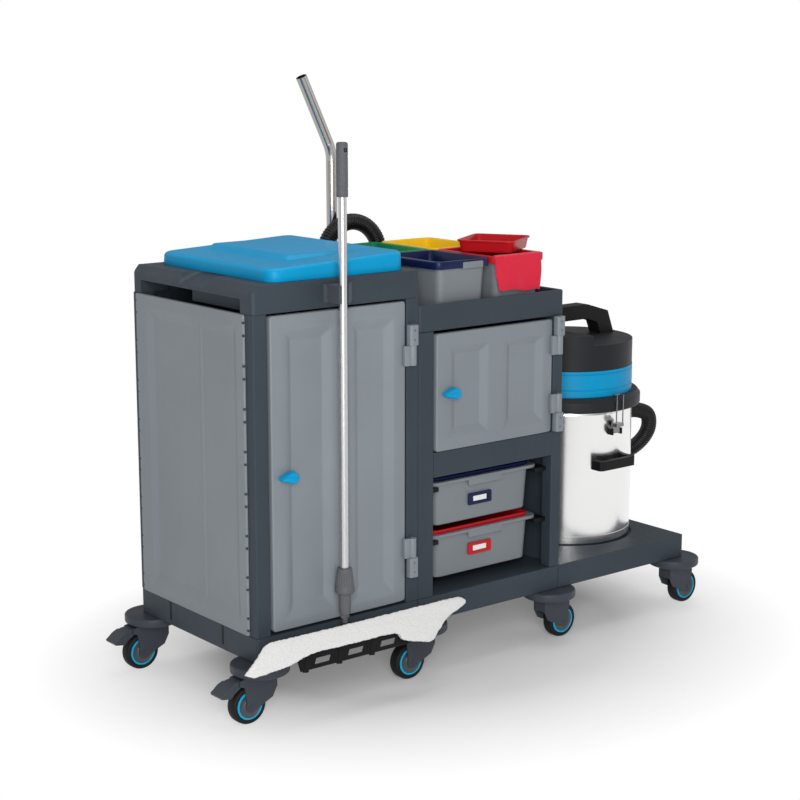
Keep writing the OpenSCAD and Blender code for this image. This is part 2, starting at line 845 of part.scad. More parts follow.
module fork_1() { fork(0, true); }
module fork_2() { fork(1, false); }
module fork_3() { fork(2, false); }
module fork_4() { fork(3, false); }
module fork_5() { fork(4, true); }
module fork_6() { fork(5, false); }
module fork_7() { fork(6, false); }
module fork_8() { fork(7, false); }
module wheel_1() { wheel(0); }
module wheel_2() { wheel(1); }
module wheel_3() { wheel(2); }
module wheel_4() { wheel(3); }
module wheel_5() { wheel(4); }
module wheel_6() { wheel(5); }
module wheel_7() { wheel(6); }
module wheel_8() { wheel(7); }
module pedal_1() { pedal(0); }
module pedal_5() { pedal(4); }

module vac_drum() {
    color(steel)
        translate([vac_c[0], vac_c[1], drum_b])
            rotate_extrude($fn = 96)
                polygon([[0, 0], [drum_r - 14, 0], [drum_r - 4, 4], [drum_r, 14], [drum_r, drum_h], [drum_r - 2, drum_h],
                    [drum_r - 2, 15], [drum_r - 15, 2], [0, 2]]);
}

module vac_band() {
    color(blue)
        translate([vac_c[0], vac_c[1], rim_top])
            rotate_extrude($fn = 96)
                polygon([[band_r - 5, 0], [band_r, 0], [band_r, 19], [band_r - 2, 20], [band_r - 2, 22], [band_r, 23],
                    [band_r, band_h], [band_r - 5, band_h]]);
}

module vac_head() {
    r = head_r;
    color(dark)
        translate([vac_c[0], vac_c[1], 0]) {
            translate([0, 0, drum_top])
                rotate_extrude($fn = 96)
                    polygon([[drum_r - 12, 0], [rim_r - 3, 0], [rim_r, 4], [rim_r, rim_h - 12], [rim_r - 10, rim_h],
                        [drum_r - 12, rim_h]]);
            difference() {
                union() {
                    translate([0, 0, band_top])
                        cylinder(h = head_h, r = r, $fn = 96);
                    intersection() {
                        translate([0, 0, band_top])
                            cylinder(h = head_h + 30, r = r, $fn = 96);
                        block([-r - 1, -r - 1, band_top], [-70, r + 1, head_top + 30]);
                    }
                }
                translate([0, 0, band_top - 1])
                    cylinder(h = head_h - 4, r = r - 5, $fn = 96);
            }
        }
}

// Side grip bar standing off the drum
module side_grip() {
    difference() {
        translate([0, -drum_r - 4, grip_z])
            linear_extrude(grip_h)
                soft_rect(146, 48, 12);
        translate([0, -drum_r - 4, grip_z - 1])
            linear_extrude(grip_h + 2)
                soft_rect(112, 20, 6);
        translate([0, 0, grip_z - 1])
            cylinder(h = grip_h + 2, r = drum_r, $fn = 96);
    }
}

// Bracket with the pin of one lid latch
module latch_bracket() {
    difference() {
        for (s = [-1, 1])
            block([s * 18 - 2.5, -latch_y - 7, latch_z - 9], [s * 18 + 2.5, -drum_r + 12, latch_z + 9]);
        cylinder(h = 2000, r = drum_r, $fn = 96);
    }
    bar_x(-18, 18, -latch_y, latch_z, 3);
}

module vac_fittings() {
    color(black)
        translate([vac_c[0], vac_c[1], 0]) {
            for (a = [0, 180])
                rotate([0, 0, a]) {
                    side_grip();
                    latch_bracket();
                }
            translate([0, 0, head_top])
                carried([[-110, 30], [-110, 66], [-84, 94], [56, 94], [142, 68], [168, 0], [112, 0], [97, 36], [58, 50],
                    [-70, 50], [-80, 30]], -24, 24);
            difference() {
                rotate([0, 0, inlet_turn])
                    bar_x(drum_r - 20, inlet_len, 0, inlet_z, 31);
                translate([0, 0, drum_b])
                    cylinder(h = drum_h, r = drum_r, $fn = 96);
            }
        }
    color(black)
        difference() {
            translate([hose_down_x, hose_y, hose_end_z - cuff_len])
                cylinder(h = cuff_len, r = hose_r + 3);
            translate([hose_down_x, hose_y, hose_end_z - cuff_len - 1])
                cylinder(h = cuff_len + 2, r = hose_bore_r - 2);
        }
}

// Lever and wire bail of one latch, swinging about its bracket's pin
module latch() {
    color(steel)
        difference() {
            union() {
                block([-15, -latch_y - 4, latch_z - 5], [15, -latch_y + 4, latch_z + 26]);
                block([-15, -bail_y - 3, latch_z + 16], [15, -latch_y + 1, latch_z + 26]);
                for (s = [-1, 1]) {
                    translate([s * 13, -bail_y, latch_z + 20])
                        cylinder(h = bail_z - latch_z - 20, r = 2);
                    bar_y(s * 13, -bail_y - 2, -rim_r + 10, bail_z, 2);
                }
                bar_x(-15, 15, -rim_r + 10, bail_z, 2);
            }
            bar_x(-20, 20, -latch_y, latch_z, 3 + turn_fit);
        }
}

module latch_front() {
    translate([vac_c[0], vac_c[1], 0])
        latch();
}

module latch_rear() {
    translate([vac_c[0], vac_c[1], 0])
        rotate([0, 0, 180])
            latch();
}

// Smooth curve through four route points, at t between the middle two
function smooth_at(a, b, c, d, t) =
    0.5 * (2 * b + (c - a) * t + (2 * a - 5 * b + 4 * c - d) * t * t + (3 * b - a - 3 * c + d) * t * t * t);
function unit(v) = v / norm(v);
hose_spans = len(hose_route) - 1;
hose_steps = hose_spans * ribs_per_span * 2;
function route_at(s) =
    let (n = min(floor(s), hose_spans - 1), t = s - n)
    smooth_at(hose_route[max(n - 1, 0)], hose_route[n], hose_route[n + 1], hose_route[min(n + 2, hose_spans)], t);
hose_line = [for (k = [0 : hose_steps]) route_at(k * hose_spans / hose_steps)];
hose_tangent = [for (k = [0 : hose_steps])
    k == 0 ? inlet_dir : unit(hose_line[min(k + 1, hose_steps)] - hose_line[max(k - 1, 0)])];
hose_side = [for (t = hose_tangent) unit(cross(t, [0.05, 1, 0.08]))];
function hose_ring(k, r) =
    [for (a = [0 : 45 : 315]) hose_line[k] + r * (cos(a) * hose_side[k] + sin(a) * cross(hose_tangent[k], hose_side[k]))];

module vac_hose() {
    n = hose_steps + 1;
    smooth = 4;
    outer = [for (k = [0 : hose_steps])
        each hose_ring(k, k < smooth || k > hose_steps - smooth || k % 2 == 0 ? hose_r : hose_r - 3)];
    inner = [for (k = [0 : hose_steps]) each hose_ring(k, hose_bore_r)];
    m = 8 * n;
    walls = [for (k = [0 : n - 2], a = [0 : 7])
        each [[8 * k + a, 8 * k + (a + 1) % 8, 8 * k + 8 + (a + 1) % 8], [8 * k + a, 8 * k + 8 + (a + 1) % 8, 8 * k + 8 + a]]];
    bores = [for (f = walls) [m + f[0], m + f[2], m + f[1]]];
    starts = [for (a = [0 : 7]) each [[a, m + a, m + (a + 1) % 8], [a, m + (a + 1) % 8, (a + 1) % 8]]];
    b = 8 * (n - 1);
    ends = [for (a = [0 : 7]) each [[b + a, b + (a + 1) % 8, m + b + (a + 1) % 8], [b + a, m + b + (a + 1) % 8, m + b + a]]];
    color(black)
        polyhedron(points = concat(outer, inner), faces = concat(walls, bores, starts, ends), convexity = 10);
}

// Path of the wand filled to one radius, reaching past both ends by extra
module wand_path(r, extra) {
    translate([0, 0, wand_b - extra])
        cylinder(h = wand_bend_z - wand_b + extra, r = r);
    translate([-wand_bend_r, 0, wand_bend_z])
        rotate([90, 0, 0])
            rotate_extrude(angle = wand_bend)
                translate([wand_bend_r, 0])
                    circle(r = r);
    translate([-wand_bend_r, 0, wand_bend_z])
        rotate([0, -wand_bend, 0])
            translate([wand_bend_r, 0, -wand_lap])
                cylinder(h = wand_tip + wand_lap + extra, r = r - wand_step);
}

module wand() {
    color(steel)
        translate([wand_at[0], wand_at[1], 0])
            difference() {
                wand_path(wand_r, 0);
                wand_path(wand_r - 2, 1);
            }
}

// Ring round a tube with an arm back to the cabinet's rear
module rear_ring(x, y, z, h, r_in, y_from) {
    difference() {
        union() {
            translate([x, y, z])
                cylinder(h = h, r = r_in + 5);
            block([x - 9, y_from, z], [x + 9, y, z + h]);
        }
        translate([x, y, z - 1])
            cylinder(h = h + 2, r = r_in);
    }
}

module tool_clips() {
    z = tall_top + 14;
    x = pole_at[0];
    j = pole_r + 0.6;
    color(dark) {
        block([x + clip_plate[0], front - 5, z], [x + clip_plate[1], front, z + clip_h]);
        block([x - j - clip_arm, pole_at[1] + j, z], [x + j + clip_arm, front - 4, z + clip_h]);
        block([x - j - clip_arm, pole_at[1] - 9, z], [x - j, pole_at[1] + j + 1, z + clip_h]);
        block([x + j, pole_at[1] - 9, z], [x + j + clip_arm, pole_at[1] + j + 1, z + clip_h]);
        block([x + clip_plate[1] - 12, front - 12, z], [x + clip_plate[1], front - 4, z + clip_h]);
        rear_ring(wand_at[0], wand_at[1], mid_top + 22, wand_ring_h, wand_r, back);
        rear_ring(wand_at[0], wand_at[1], wand_ring_z, wand_ring_h, wand_r, back - 10 + panel_t);
        for (hx = [hose_up_x, hose_down_x])
            rear_ring(hx, hose_y, mid_top + 10, hose_ring_h, hose_r, back);
    }
}

module mop_pole() {
    color(steel)
        translate([pole_at[0], pole_at[1], pole_b])
            difference() {
                cylinder(h = mop_top - 8 - pole_b, r = pole_r);
                translate([0, 0, -1])
                    cylinder(h = mop_top - 8 - pole_b - 3, r = pole_r - 1.5);
            }
}

module mop_fittings() {
    color(grey)
        translate([pole_at[0], pole_at[1], 0]) {
            difference() {
                translate([0, 0, mop_top - grip_len])
                    cylinder(h = grip_len, r = grip_r);
                translate([0, 0, mop_top - grip_len - 1])
                    cylinder(h = grip_len - 7, r = pole_r);
            }
            difference() {
                translate([0, 0, pole_b - 6])
                    cylinder(h = collar_h, r = collar_r);
                translate([0, 0, pole_b])
                    cylinder(h = collar_h, r = pole_r);
            }
            translate([0, 0, mop_axis[1] + socket_lift])
                cylinder(h = pole_b - 5 - mop_axis[1] - socket_lift, r = socket_r);
            difference() {
                union() {
                    block([-5, -5, mop_axis[1]], [5, 5, mop_axis[1] + socket_lift + 2]);
                    bar_x(-5, 5, 0, mop_axis[1], 7);
                }
                bar_x(-6, 6, 0, mop_axis[1], 3 + turn_fit);
            }
        }
}

// Places a flat outline on the sloping mop plane: x along the cart, y down the slope, z out of the face
module on_mop_plane() {
    translate([tall_x, mop_edge[0], mop_edge[1]])
        rotate([180 + mop_slope, 0, 0])
            mirror([0, 0, 1])
                children();
}

module mop_plate() {
    px = pole_at[0] - tall_x;
    d = [mop_axis[0] - mop_edge[0], mop_axis[1] - mop_edge[1]];
    down = -d[0] * cos(mop_slope) - d[1] * sin(mop_slope);
    out = -d[0] * sin(mop_slope) + d[1] * cos(mop_slope);
    color(black)
        on_mop_plane() {
            translate([0, 0, -mop_plate_t])
                linear_extrude(mop_plate_t)
                    difference() {
                        translate([60, 2])
                            square([345, 84]);
                        for (k = [0 : 2])
                            translate([86 + 104 * k, 62])
                                square([84, 14]);
                    }
            for (s = [-1, 1])
                block([px + s * 10 - 4.2, down - 7, out - 7], [px + s * 10 + 4.2, down + 13, e - mop_plate_t]);
            bar_x(px - 10, px + 10, down, out, 3);
        }
}

module mop_cloth() {
    color([0.9, 0.9, 0.89])
        on_mop_plane()
            linear_extrude(mop_cloth_t)
                polygon([[-15, 0], [579, 0], [622, 14], [542, 43], [470, 97], [380, 76], [362, 53], [105, 50],
                    [28, 65], [-75, 72], [-105, 60]]);
}

tall_base();
mid_base();
vac_platform();
corner_posts();
tall_top_frame();
mid_top_tray();
mid_shelf();
end_panel();
inner_panels();
hinge_leaves();
drawer_runners();
tool_clips();
caster_bumpers();
waste_lid();
tall_door();
tall_knob();
mid_door();
mid_knob();
upper_drawer();
upper_drawer_trim();
lower_drawer();
lower_drawer_trim();
navy_pail();
navy_liner();
red_pail();
red_liner();
green_pail();
yellow_pail();
red_tray();
red_cloth();
vac_drum();
vac_band();
vac_head();
vac_fittings();
latch_front();
latch_rear();
vac_hose();
wand();
mop_pole();
mop_fittings();
mop_plate();
mop_cloth();
fork_1();
fork_2();
fork_3();
fork_4();
fork_5();
fork_6();
fork_7();
fork_8();
wheel_1();
wheel_2();
wheel_3();
wheel_4();
wheel_5();
wheel_6();
wheel_7();
wheel_8();
pedal_1();
pedal_5();
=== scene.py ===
"""Looks of the janitor cart, in metres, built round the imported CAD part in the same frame."""

import json
import math

import bmesh
import bpy
import numpy as np
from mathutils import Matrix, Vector


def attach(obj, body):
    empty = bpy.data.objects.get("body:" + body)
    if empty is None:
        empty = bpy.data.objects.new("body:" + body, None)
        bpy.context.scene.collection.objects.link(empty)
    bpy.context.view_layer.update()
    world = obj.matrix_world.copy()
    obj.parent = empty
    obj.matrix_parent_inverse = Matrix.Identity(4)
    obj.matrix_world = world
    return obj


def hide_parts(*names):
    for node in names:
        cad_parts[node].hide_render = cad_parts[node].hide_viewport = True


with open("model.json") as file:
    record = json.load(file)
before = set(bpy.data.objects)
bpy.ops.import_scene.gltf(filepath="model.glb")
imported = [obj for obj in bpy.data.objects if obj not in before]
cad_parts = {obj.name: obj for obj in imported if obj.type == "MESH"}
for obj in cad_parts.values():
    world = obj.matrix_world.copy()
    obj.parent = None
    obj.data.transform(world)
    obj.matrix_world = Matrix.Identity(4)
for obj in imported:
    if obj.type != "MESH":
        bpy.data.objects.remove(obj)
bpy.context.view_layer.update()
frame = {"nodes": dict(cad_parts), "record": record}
NODES = frame["nodes"]
BODY = {node: body for body, nodes in frame["record"]["behaviour"]["bodies"].items() for node in nodes}
TAU = 2 * math.pi
MERGE_DISTANCE = 1e-6


# Materials

MOTTLE_SCALE = 4.0
SCUFF_SCALE = 38.0
SCRATCH_SCALE = 260.0
GRAIN_HEIGHT = 0.0004
SCRATCH_HEIGHT = 0.0002
SCRATCH_STRENGTH = 0.06
PILE_HEIGHT = 0.003


def node_tree(name):
    """A new material with its node tree, its shader and its links."""
    m = bpy.data.materials.new(name)
    m.use_nodes = True
    t = m.node_tree
    return m, t, t.nodes["Principled BSDF"], t.links


def noise(t, scale, detail, rough=0.5, stretch=None):
    """Noise on object coordinates, optionally stretched by a mapping."""
    co = t.nodes.new("ShaderNodeTexCoord")
    n = t.nodes.new("ShaderNodeTexNoise")
    n.inputs["Scale"].default_value = scale
    n.inputs["Detail"].default_value = detail
    n.inputs["Roughness"].default_value = rough
    place = co.outputs["Object"]
    if stretch:
        mapping = t.nodes.new("ShaderNodeMapping")
        mapping.inputs["Scale"].default_value = stretch
        t.links.new(place, mapping.inputs["Vector"])
        place = mapping.outputs["Vector"]
    t.links.new(place, n.inputs["Vector"])
    return n.outputs["Fac"]


def spread(t, value, low, high, start=0.3, end=0.7):
    """The value carried evenly from start..end to low..high and held at both ends."""
    r = t.nodes.new("ShaderNodeMapRange")
    r.inputs["From Min"].default_value = start
    r.inputs["From Max"].default_value = end
    r.inputs["To Min"].default_value = low
    r.inputs["To Max"].default_value = high
    t.links.new(value, r.inputs["Value"])
    return r.outputs["Result"]


def two_tone(t, value, first, second):
    """A colour between two tones, mixed by the value."""
    mix = t.nodes.new("ShaderNodeMix")
    mix.data_type = "RGBA"
    mix.inputs["A"].default_value = (*first, 1)
    mix.inputs["B"].default_value = (*second, 1)
    t.links.new(value, mix.inputs["Factor"])
    return mix.outputs["Result"]


def math_node(t, kind, *values):
    """The result of a math node on sockets and plain numbers."""
    n = t.nodes.new("ShaderNodeMath")
    n.operation = kind
    for k, value in enumerate(values):
        if isinstance(value, float):
            n.inputs[k].default_value = value
        else:
            t.links.new(value, n.inputs[k])
    return n.outputs["Value"]


def bump(t, shader, height, strength, distance):
    """Unevenness of the shading by a height pattern."""
    b = t.nodes.new("ShaderNodeBump")
    b.inputs["Strength"].default_value = strength
    b.inputs["Distance"].default_value = distance
    t.links.new(height, b.inputs["Height"])
    t.links.new(b.outputs["Normal"], shader.inputs["Normal"])


def plastic(name, colour, rough, vary, grain, strength, specular):
    """Moulded plastic: slow colour mottling, faint scuffs in the gloss and a fine moulded grain."""
    m, t, b, links = node_tree(name)
    c = np.array(colour)
    mottle = spread(t, noise(t, MOTTLE_SCALE, 4.0), 0, 1)
    links.new(two_tone(t, mottle, c * (1 - vary), np.minimum(c * (1 + vary), 1)), b.inputs["Base Color"])
    scuffs = noise(t, SCUFF_SCALE, 6.0, 0.65, (1, 1, 0.25))
    links.new(spread(t, scuffs, rough - 0.03, rough + 0.04), b.inputs["Roughness"])
    b.inputs["Specular IOR Level"].default_value = specular
    bump(t, b, noise(t, grain, 2.0), strength, GRAIN_HEIGHT)
    return m


def metal(name, colour, rough, stretch):
    """Drawn or brushed metal: fine scratches stretched along the drawing direction."""
    m, t, b, links = node_tree(name)
    b.inputs["Metallic"].default_value = 1.0
    c = np.array(colour)
    scratches = noise(t, SCRATCH_SCALE, 4.0, 0.6, stretch)
    tone = two_tone(t, spread(t, scratches, 0, 1), c * 0.93, np.minimum(c * 1.05, 1))
    links.new(tone, b.inputs["Base Color"])
    links.new(spread(t, scratches, rough - 0.05, rough + 0.07), b.inputs["Roughness"])
    bump(t, b, scratches, SCRATCH_STRENGTH, SCRATCH_HEIGHT)
    return m


def cloth(name, colour, shade, scale, strength, sheen):
    """Microfibre: tufted pile from cellular and cloud noise, with painted shade darkening it between the
    tufts.
    """
    m, t, b, links = node_tree(name)
    co = t.nodes.new("ShaderNodeTexCoord")
    cells = t.nodes.new("ShaderNodeTexVoronoi")
    cells.inputs["Scale"].default_value = scale
    links.new(co.outputs["Object"], cells.inputs["Vector"])
    tuft = cells.outputs["Distance"]
    # The second tone is painted shade, darker towards the edges of each tuft.
    links.new(two_tone(t, spread(t, tuft, 0, 1, 0.1, 0.8), colour, shade), b.inputs["Base Color"])
    b.inputs["Roughness"].default_value = 0.95
    b.inputs["Sheen Weight"].default_value = sheen
    b.inputs["Sheen Roughness"].default_value = 0.5
    b.inputs["Specular IOR Level"].default_value = 0.15
    pile = math_node(t, "SUBTRACT", noise(t, scale * 0.45, 5.0, 0.7), tuft)
    bump(t, b, pile, strength, PILE_HEIGHT)
    return m


# A plastic's numbers: colour, roughness, mottling, scale of the grain, its strength, strength of reflections.
# A metal's: colour, roughness, stretch of the scratches. A cloth's: colour, shade, scale, strength, sheen.
FINISHES = {
    "frame": plastic("frame_grey", (0.036, 0.048, 0.061), 0.50, 0.10, 1400.0, 0.25, 0.20),
    "panel": plastic("panel_grey", (0.198, 0.223, 0.245), 0.42, 0.05, 1100.0, 0.12, 0.45),
    "tub": plastic("tub_grey", (0.192, 0.212, 0.230), 0.42, 0.05, 1100.0, 0.12, 0.30),
    "blue": plastic("lid_blue", (0.001, 0.310, 0.600), 0.40, 0.06, 1300.0, 0.18, 0.18),
    "navy": plastic("navy_gloss", (0.005, 0.012, 0.060), 0.32, 0.10, 1300.0, 0.12, 0.18),
    "red": plastic("red_gloss", (0.500, 0.010, 0.016), 0.34, 0.06, 1300.0, 0.12, 0.20),
    "green": plastic("green_gloss", (0.004, 0.220, 0.075), 0.34, 0.06, 1300.0, 0.12, 0.20),
    "yellow": plastic("yellow_gloss", (0.880, 0.560, 0.006), 0.34, 0.05, 1300.0, 0.12, 0.20),
    "black": plastic("black_satin", (0.0065, 0.0065, 0.0075), 0.45, 0.15, 1500.0, 0.25, 0.15),
    "head": plastic("head_charcoal", (0.014, 0.0150, 0.018), 0.48, 0.10, 1500.0, 0.3, 0.20),
    "clip": plastic("clip_grey", (0.066, 0.077, 0.090), 0.45, 0.10, 1500.0, 0.25, 0.25),
    "caster": plastic("caster_grey", (0.042, 0.050, 0.062), 0.45, 0.10, 1500.0, 0.25, 0.22),
    "tyre": plastic("tyre_black", (0.009, 0.009, 0.010), 0.60, 0.15, 900.0, 0.35, 0.18),
    "ring": plastic("ring_blue", (0.004, 0.370, 0.620), 0.40, 0.06, 1400.0, 0.25, 0.20),
    "hub": plastic("hub_grey", (0.070, 0.076, 0.086), 0.45, 0.08, 1400.0, 0.25, 0.25),
    "grip": plastic("grip_grey", (0.105, 0.110, 0.118), 0.55, 0.08, 1500.0, 0.4, 0.20),
    "hose": plastic("hose_black", (0.006, 0.006, 0.0065), 0.40, 0.15, 1500.0, 0.2, 0.22),
    "card": plastic("blank_card", (0.80, 0.80, 0.79), 0.75, 0.02, 1800.0, 0.1, 0.2),
    "drum": metal("drum_steel", (0.86, 0.855, 0.85), 0.20, (0.35, 0.35, 14.0)),
    "chrome": metal("tube_steel", (0.40, 0.38, 0.36), 0.17, (6.0, 6.0, 0.2)),
    "pole": metal("pole_aluminium", (0.58, 0.58, 0.59), 0.26, (8.0, 8.0, 0.15)),
    "wire": metal("latch_steel", (0.24, 0.24, 0.25), 0.20, (3.0, 3.0, 3.0)),
    "red_cloth": cloth("red_microfibre", (0.860, 0.016, 0.060), (0.620, 0.006, 0.032), 900.0, 0.35, 0.25),
    "white_cloth": cloth("white_microfibre", (0.86, 0.86, 0.86), (0.70, 0.70, 0.69), 520.0, 0.5, 0.2),
}


# Surfaces

def quads(n, m, closed=False):
    """Index quads of n rows of m points, each row joined end to end where it is closed."""
    row, column = np.meshgrid(np.arange(n - 1) * m, np.arange(m if closed else m - 1), indexing="ij")
    beside = (column + 1) % m
    corners = [row + column, row + m + column, row + m + beside, row + beside]
    return np.stack(corners, -1).reshape(-1, 4)


def placed(name, data):
    """A new object of a mesh, lamp or camera, linked to the scene."""
    o = bpy.data.objects.new(name, data)
    bpy.context.scene.collection.objects.link(o)
    return o


def mesh_object(name, bm, mats):
    """A new object of an edited mesh with its materials."""
    me = bpy.data.meshes.new(name)
    bm.to_mesh(me)
    bm.free()
    for m in mats:
        me.materials.append(m)
    return placed(name, me)


def make(name, points, faces, mats, index=None):
    """An object of points and faces, with its doubles merged and its faces turned outwards."""
    me = bpy.data.meshes.new(name)
    me.from_pydata(np.asarray(points).reshape(-1, 3).tolist(), [], [list(map(int, f)) for f in faces])
    for m in mats if isinstance(mats, (list, tuple)) else [mats]:
        me.materials.append(FINISHES[m])
    if index is not None:
        me.polygons.foreach_set("material_index", np.asarray(index, np.int32))
    bm = bmesh.new()
    bm.from_mesh(me)
    bmesh.ops.remove_doubles(bm, verts=bm.verts, dist=MERGE_DISTANCE)
    bmesh.ops.recalc_face_normals(bm, faces=bm.faces)
    bm.to_mesh(me)
    bm.free()
    return placed(name, me)


def skin(name, rows, mat):
    """Closed rows of points joined in order, with a flat face on the first and on the last row."""
    n, m = rows.shape[:2]
    ends = [list(range(m))[::-1], list(range((n - 1) * m, n * m))]
    return make(name, rows, quads(n, m, closed=True).tolist() + ends, mat)


def done(o, body, *nodes, slot=None, sharp=35.0):
    """Smooth shading up to an angle, then the piece rides on its body and stands for its CAD nodes."""
    o.data.shade_smooth()
    o.data.set_sharp_from_angle(angle=math.radians(sharp))
    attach(o, body)
    if nodes:
        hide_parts(*nodes)


def soften(node, mat, width, keep=None):
    """A merged copy of a CAD node, or of the solids of it that keep picks, its edges rounded by a bevel."""
    flat, sharp = math.radians(0.6), 28.0
    bm = bmesh.new()
    bm.from_mesh(NODES[node].data)
    bmesh.ops.remove_doubles(bm, verts=bm.verts, dist=MERGE_DISTANCE)
    if keep:
        bmesh.ops.delete(bm, geom=[v for v in bm.verts if not keep(v.co)], context="VERTS")
    bmesh.ops.dissolve_limit(bm, angle_limit=flat, verts=bm.verts, edges=bm.edges)
    o = mesh_object(node + "_soft", bm, [FINISHES[mat]])
    done(o, BODY[node], node, sharp=sharp)
    b = o.modifiers.new("edges", "BEVEL")
    b.width = width
    b.segments = 3
    b.limit_method = "ANGLE"
    b.angle_limit = math.radians(sharp)
    b.harden_normals = True


def block(name, lo, hi, r, mat, segments=3):
    """A block between two corners with all its edges rounded."""
    bm = bmesh.new()
    bmesh.ops.create_cube(bm, size=1.0)
    lo, hi = Vector(lo), Vector(hi)
    for v in bm.verts:
        v.co = Vector((lo[i] + hi[i]) / 2 + v.co[i] * (hi[i] - lo[i]) for i in range(3))
    bmesh.ops.bevel(bm, geom=bm.edges[:], offset=r, segments=segments, profile=0.5, affect="EDGES")
    return mesh_object(name, bm, [FINISHES[mat]])


def joined(name, pieces):
    """Several pieces as one mesh, each keeping its materials."""
    bm = bmesh.new()
    mats = []
    for p in pieces:
        part = bmesh.new()
        part.from_mesh(p.data)
        shift = {}
        for k, m in enumerate(p.data.materials):
            if m not in mats:
                mats.append(m)
            shift[k] = mats.index(m)
        for f in part.faces:
            f.material_index = shift[f.material_index]
        between = bpy.data.meshes.new("between")
        part.to_mesh(between)
        part.free()
        bm.from_mesh(between)
        bpy.data.meshes.remove(between)
    for p in pieces:
        bpy.data.objects.remove(p)
    return mesh_object(name, bm, mats)


def loop(w, d, r, n=9, m=7):
    """Rounded rectangle about the origin: four arcs of n points joined by runs of m points."""
    r = min(r, w / 2 - 1e-5, d / 2 - 1e-5)
    arcs = []
    for k, (sx, sy) in enumerate(((1, 1), (-1, 1), (-1, -1), (1, -1))):
        a = np.linspace(0, math.pi / 2, n) + k * math.pi / 2
        arcs.append(np.stack([sx * (w / 2 - r) + r * np.cos(a), sy * (d / 2 - r) + r * np.sin(a)], -1))
    s = np.linspace(0, 1, m + 2)[1:-1, None]
    runs = []
    for k in range(4):
        runs += [arcs[k], arcs[k][-1] * (1 - s) + arcs[(k + 1) % 4][0] * s]
    return np.concatenate(runs)


def loft(name, levels, mat, centre, turn=0.0):
    """Rounded-rectangle loops (w, d, r, z) joined in order, closed by a flat face at both ends."""
    c, s = math.cos(turn), math.sin(turn)
    rows = []
    for w, d, r, z in levels:
        p = loop(w, d, r) @ np.array([[c, s], [-s, c]]) + np.array(centre)
        rows.append(np.column_stack([p, np.full(len(p), z)]))
    return skin(name, np.stack(rows), mat)


def lathe(name, profile, centre, mats, n, axis=2, index=None):
    """Profile of (radius, height) points turned about an axis through centre."""
    pr = np.asarray(profile, float)
    a = np.linspace(0, TAU, n, endpoint=False)
    P = np.zeros((len(pr), n, 3))
    u, v = [k for k in range(3) if k != axis]
    P[..., u] = pr[:, :1] * np.cos(a)
    P[..., v] = pr[:, :1] * np.sin(a)
    P[..., axis] = pr[:, 1:]
    P += np.asarray(centre)
    if index is not None:
        index = np.repeat(index, n)
    return make(name, P, quads(len(pr), n, closed=True), mats, index)


def arc(c, r, a0, a1, n=6):
    """Points of a profile's corner arc, angles in degrees."""
    a = np.radians(np.linspace(a0, a1, n))
    return [(c[0] + r * math.cos(x), c[1] + r * math.sin(x)) for x in a]


def lengths(path):
    """How far along the path each of its points lies."""
    return np.r_[0, np.cumsum(np.linalg.norm(np.diff(path, axis=0), axis=1))]


def smooth(route, per=12):
    """The same smooth curve through the route's points as in the part's source."""
    p = np.asarray(route, float)
    q = np.vstack([p[:1], p, p[-1:]])
    t = np.linspace(0, 1, per, endpoint=False)[:, None]
    spans = []
    for k in range(len(p) - 1):
        a, b, c, d = q[k : k + 4]
        square, cube = 2 * a - 5 * b + 4 * c - d, 3 * b - a - 3 * c + d
        spans.append(0.5 * (2 * b + (c - a) * t + square * t**2 + cube * t**3))
    return np.vstack(spans + [p[-1:]])


def even(path, gap):
    """The same curve at even spacing, and how far along it each point lies."""
    s = lengths(path)
    u = np.linspace(0, s[-1], int(round(s[-1] / gap)) + 1)
    return np.stack([np.interp(u, s, path[:, k]) for k in range(3)], -1), u


def tube(name, path, radius, mat, n):
    """Round tube of the given radii swept along a path, with flat ends."""
    never_along = (0.05, 1.0, 0.08)
    tan = np.gradient(path, axis=0)
    tan /= np.linalg.norm(tan, axis=1)[:, None]
    side = np.cross(tan, np.asarray(never_along))
    side /= np.linalg.norm(side, axis=1)[:, None]
    up = np.cross(tan, side)
    a = np.linspace(0, TAU, n, endpoint=False)[None, :, None]
    outward = np.cos(a) * side[:, None] + np.sin(a) * up[:, None]
    return skin(name, path[:, None] + radius[:, None, None] * outward, mat)


def step(x, a, b):
    """Smooth rise from nought at a to one at b."""
    t = np.clip((x - a) / (b - a), 0, 1)
    return t * t * (3 - 2 * t)


def inside(u, v, lo, hi, r):
    """Distance inside a rounded rectangle, negative outside it."""
    cu, cv = (lo[0] + hi[0]) / 2, (lo[1] + hi[1]) / 2
    qu = np.abs(u - cu) - (hi[0] - lo[0]) / 2 + r
    qv = np.abs(v - cv) - (hi[1] - lo[1]) / 2 + r
    return r - np.hypot(np.maximum(qu, 0), np.maximum(qv, 0)) - np.minimum(np.maximum(qu, qv), 0)


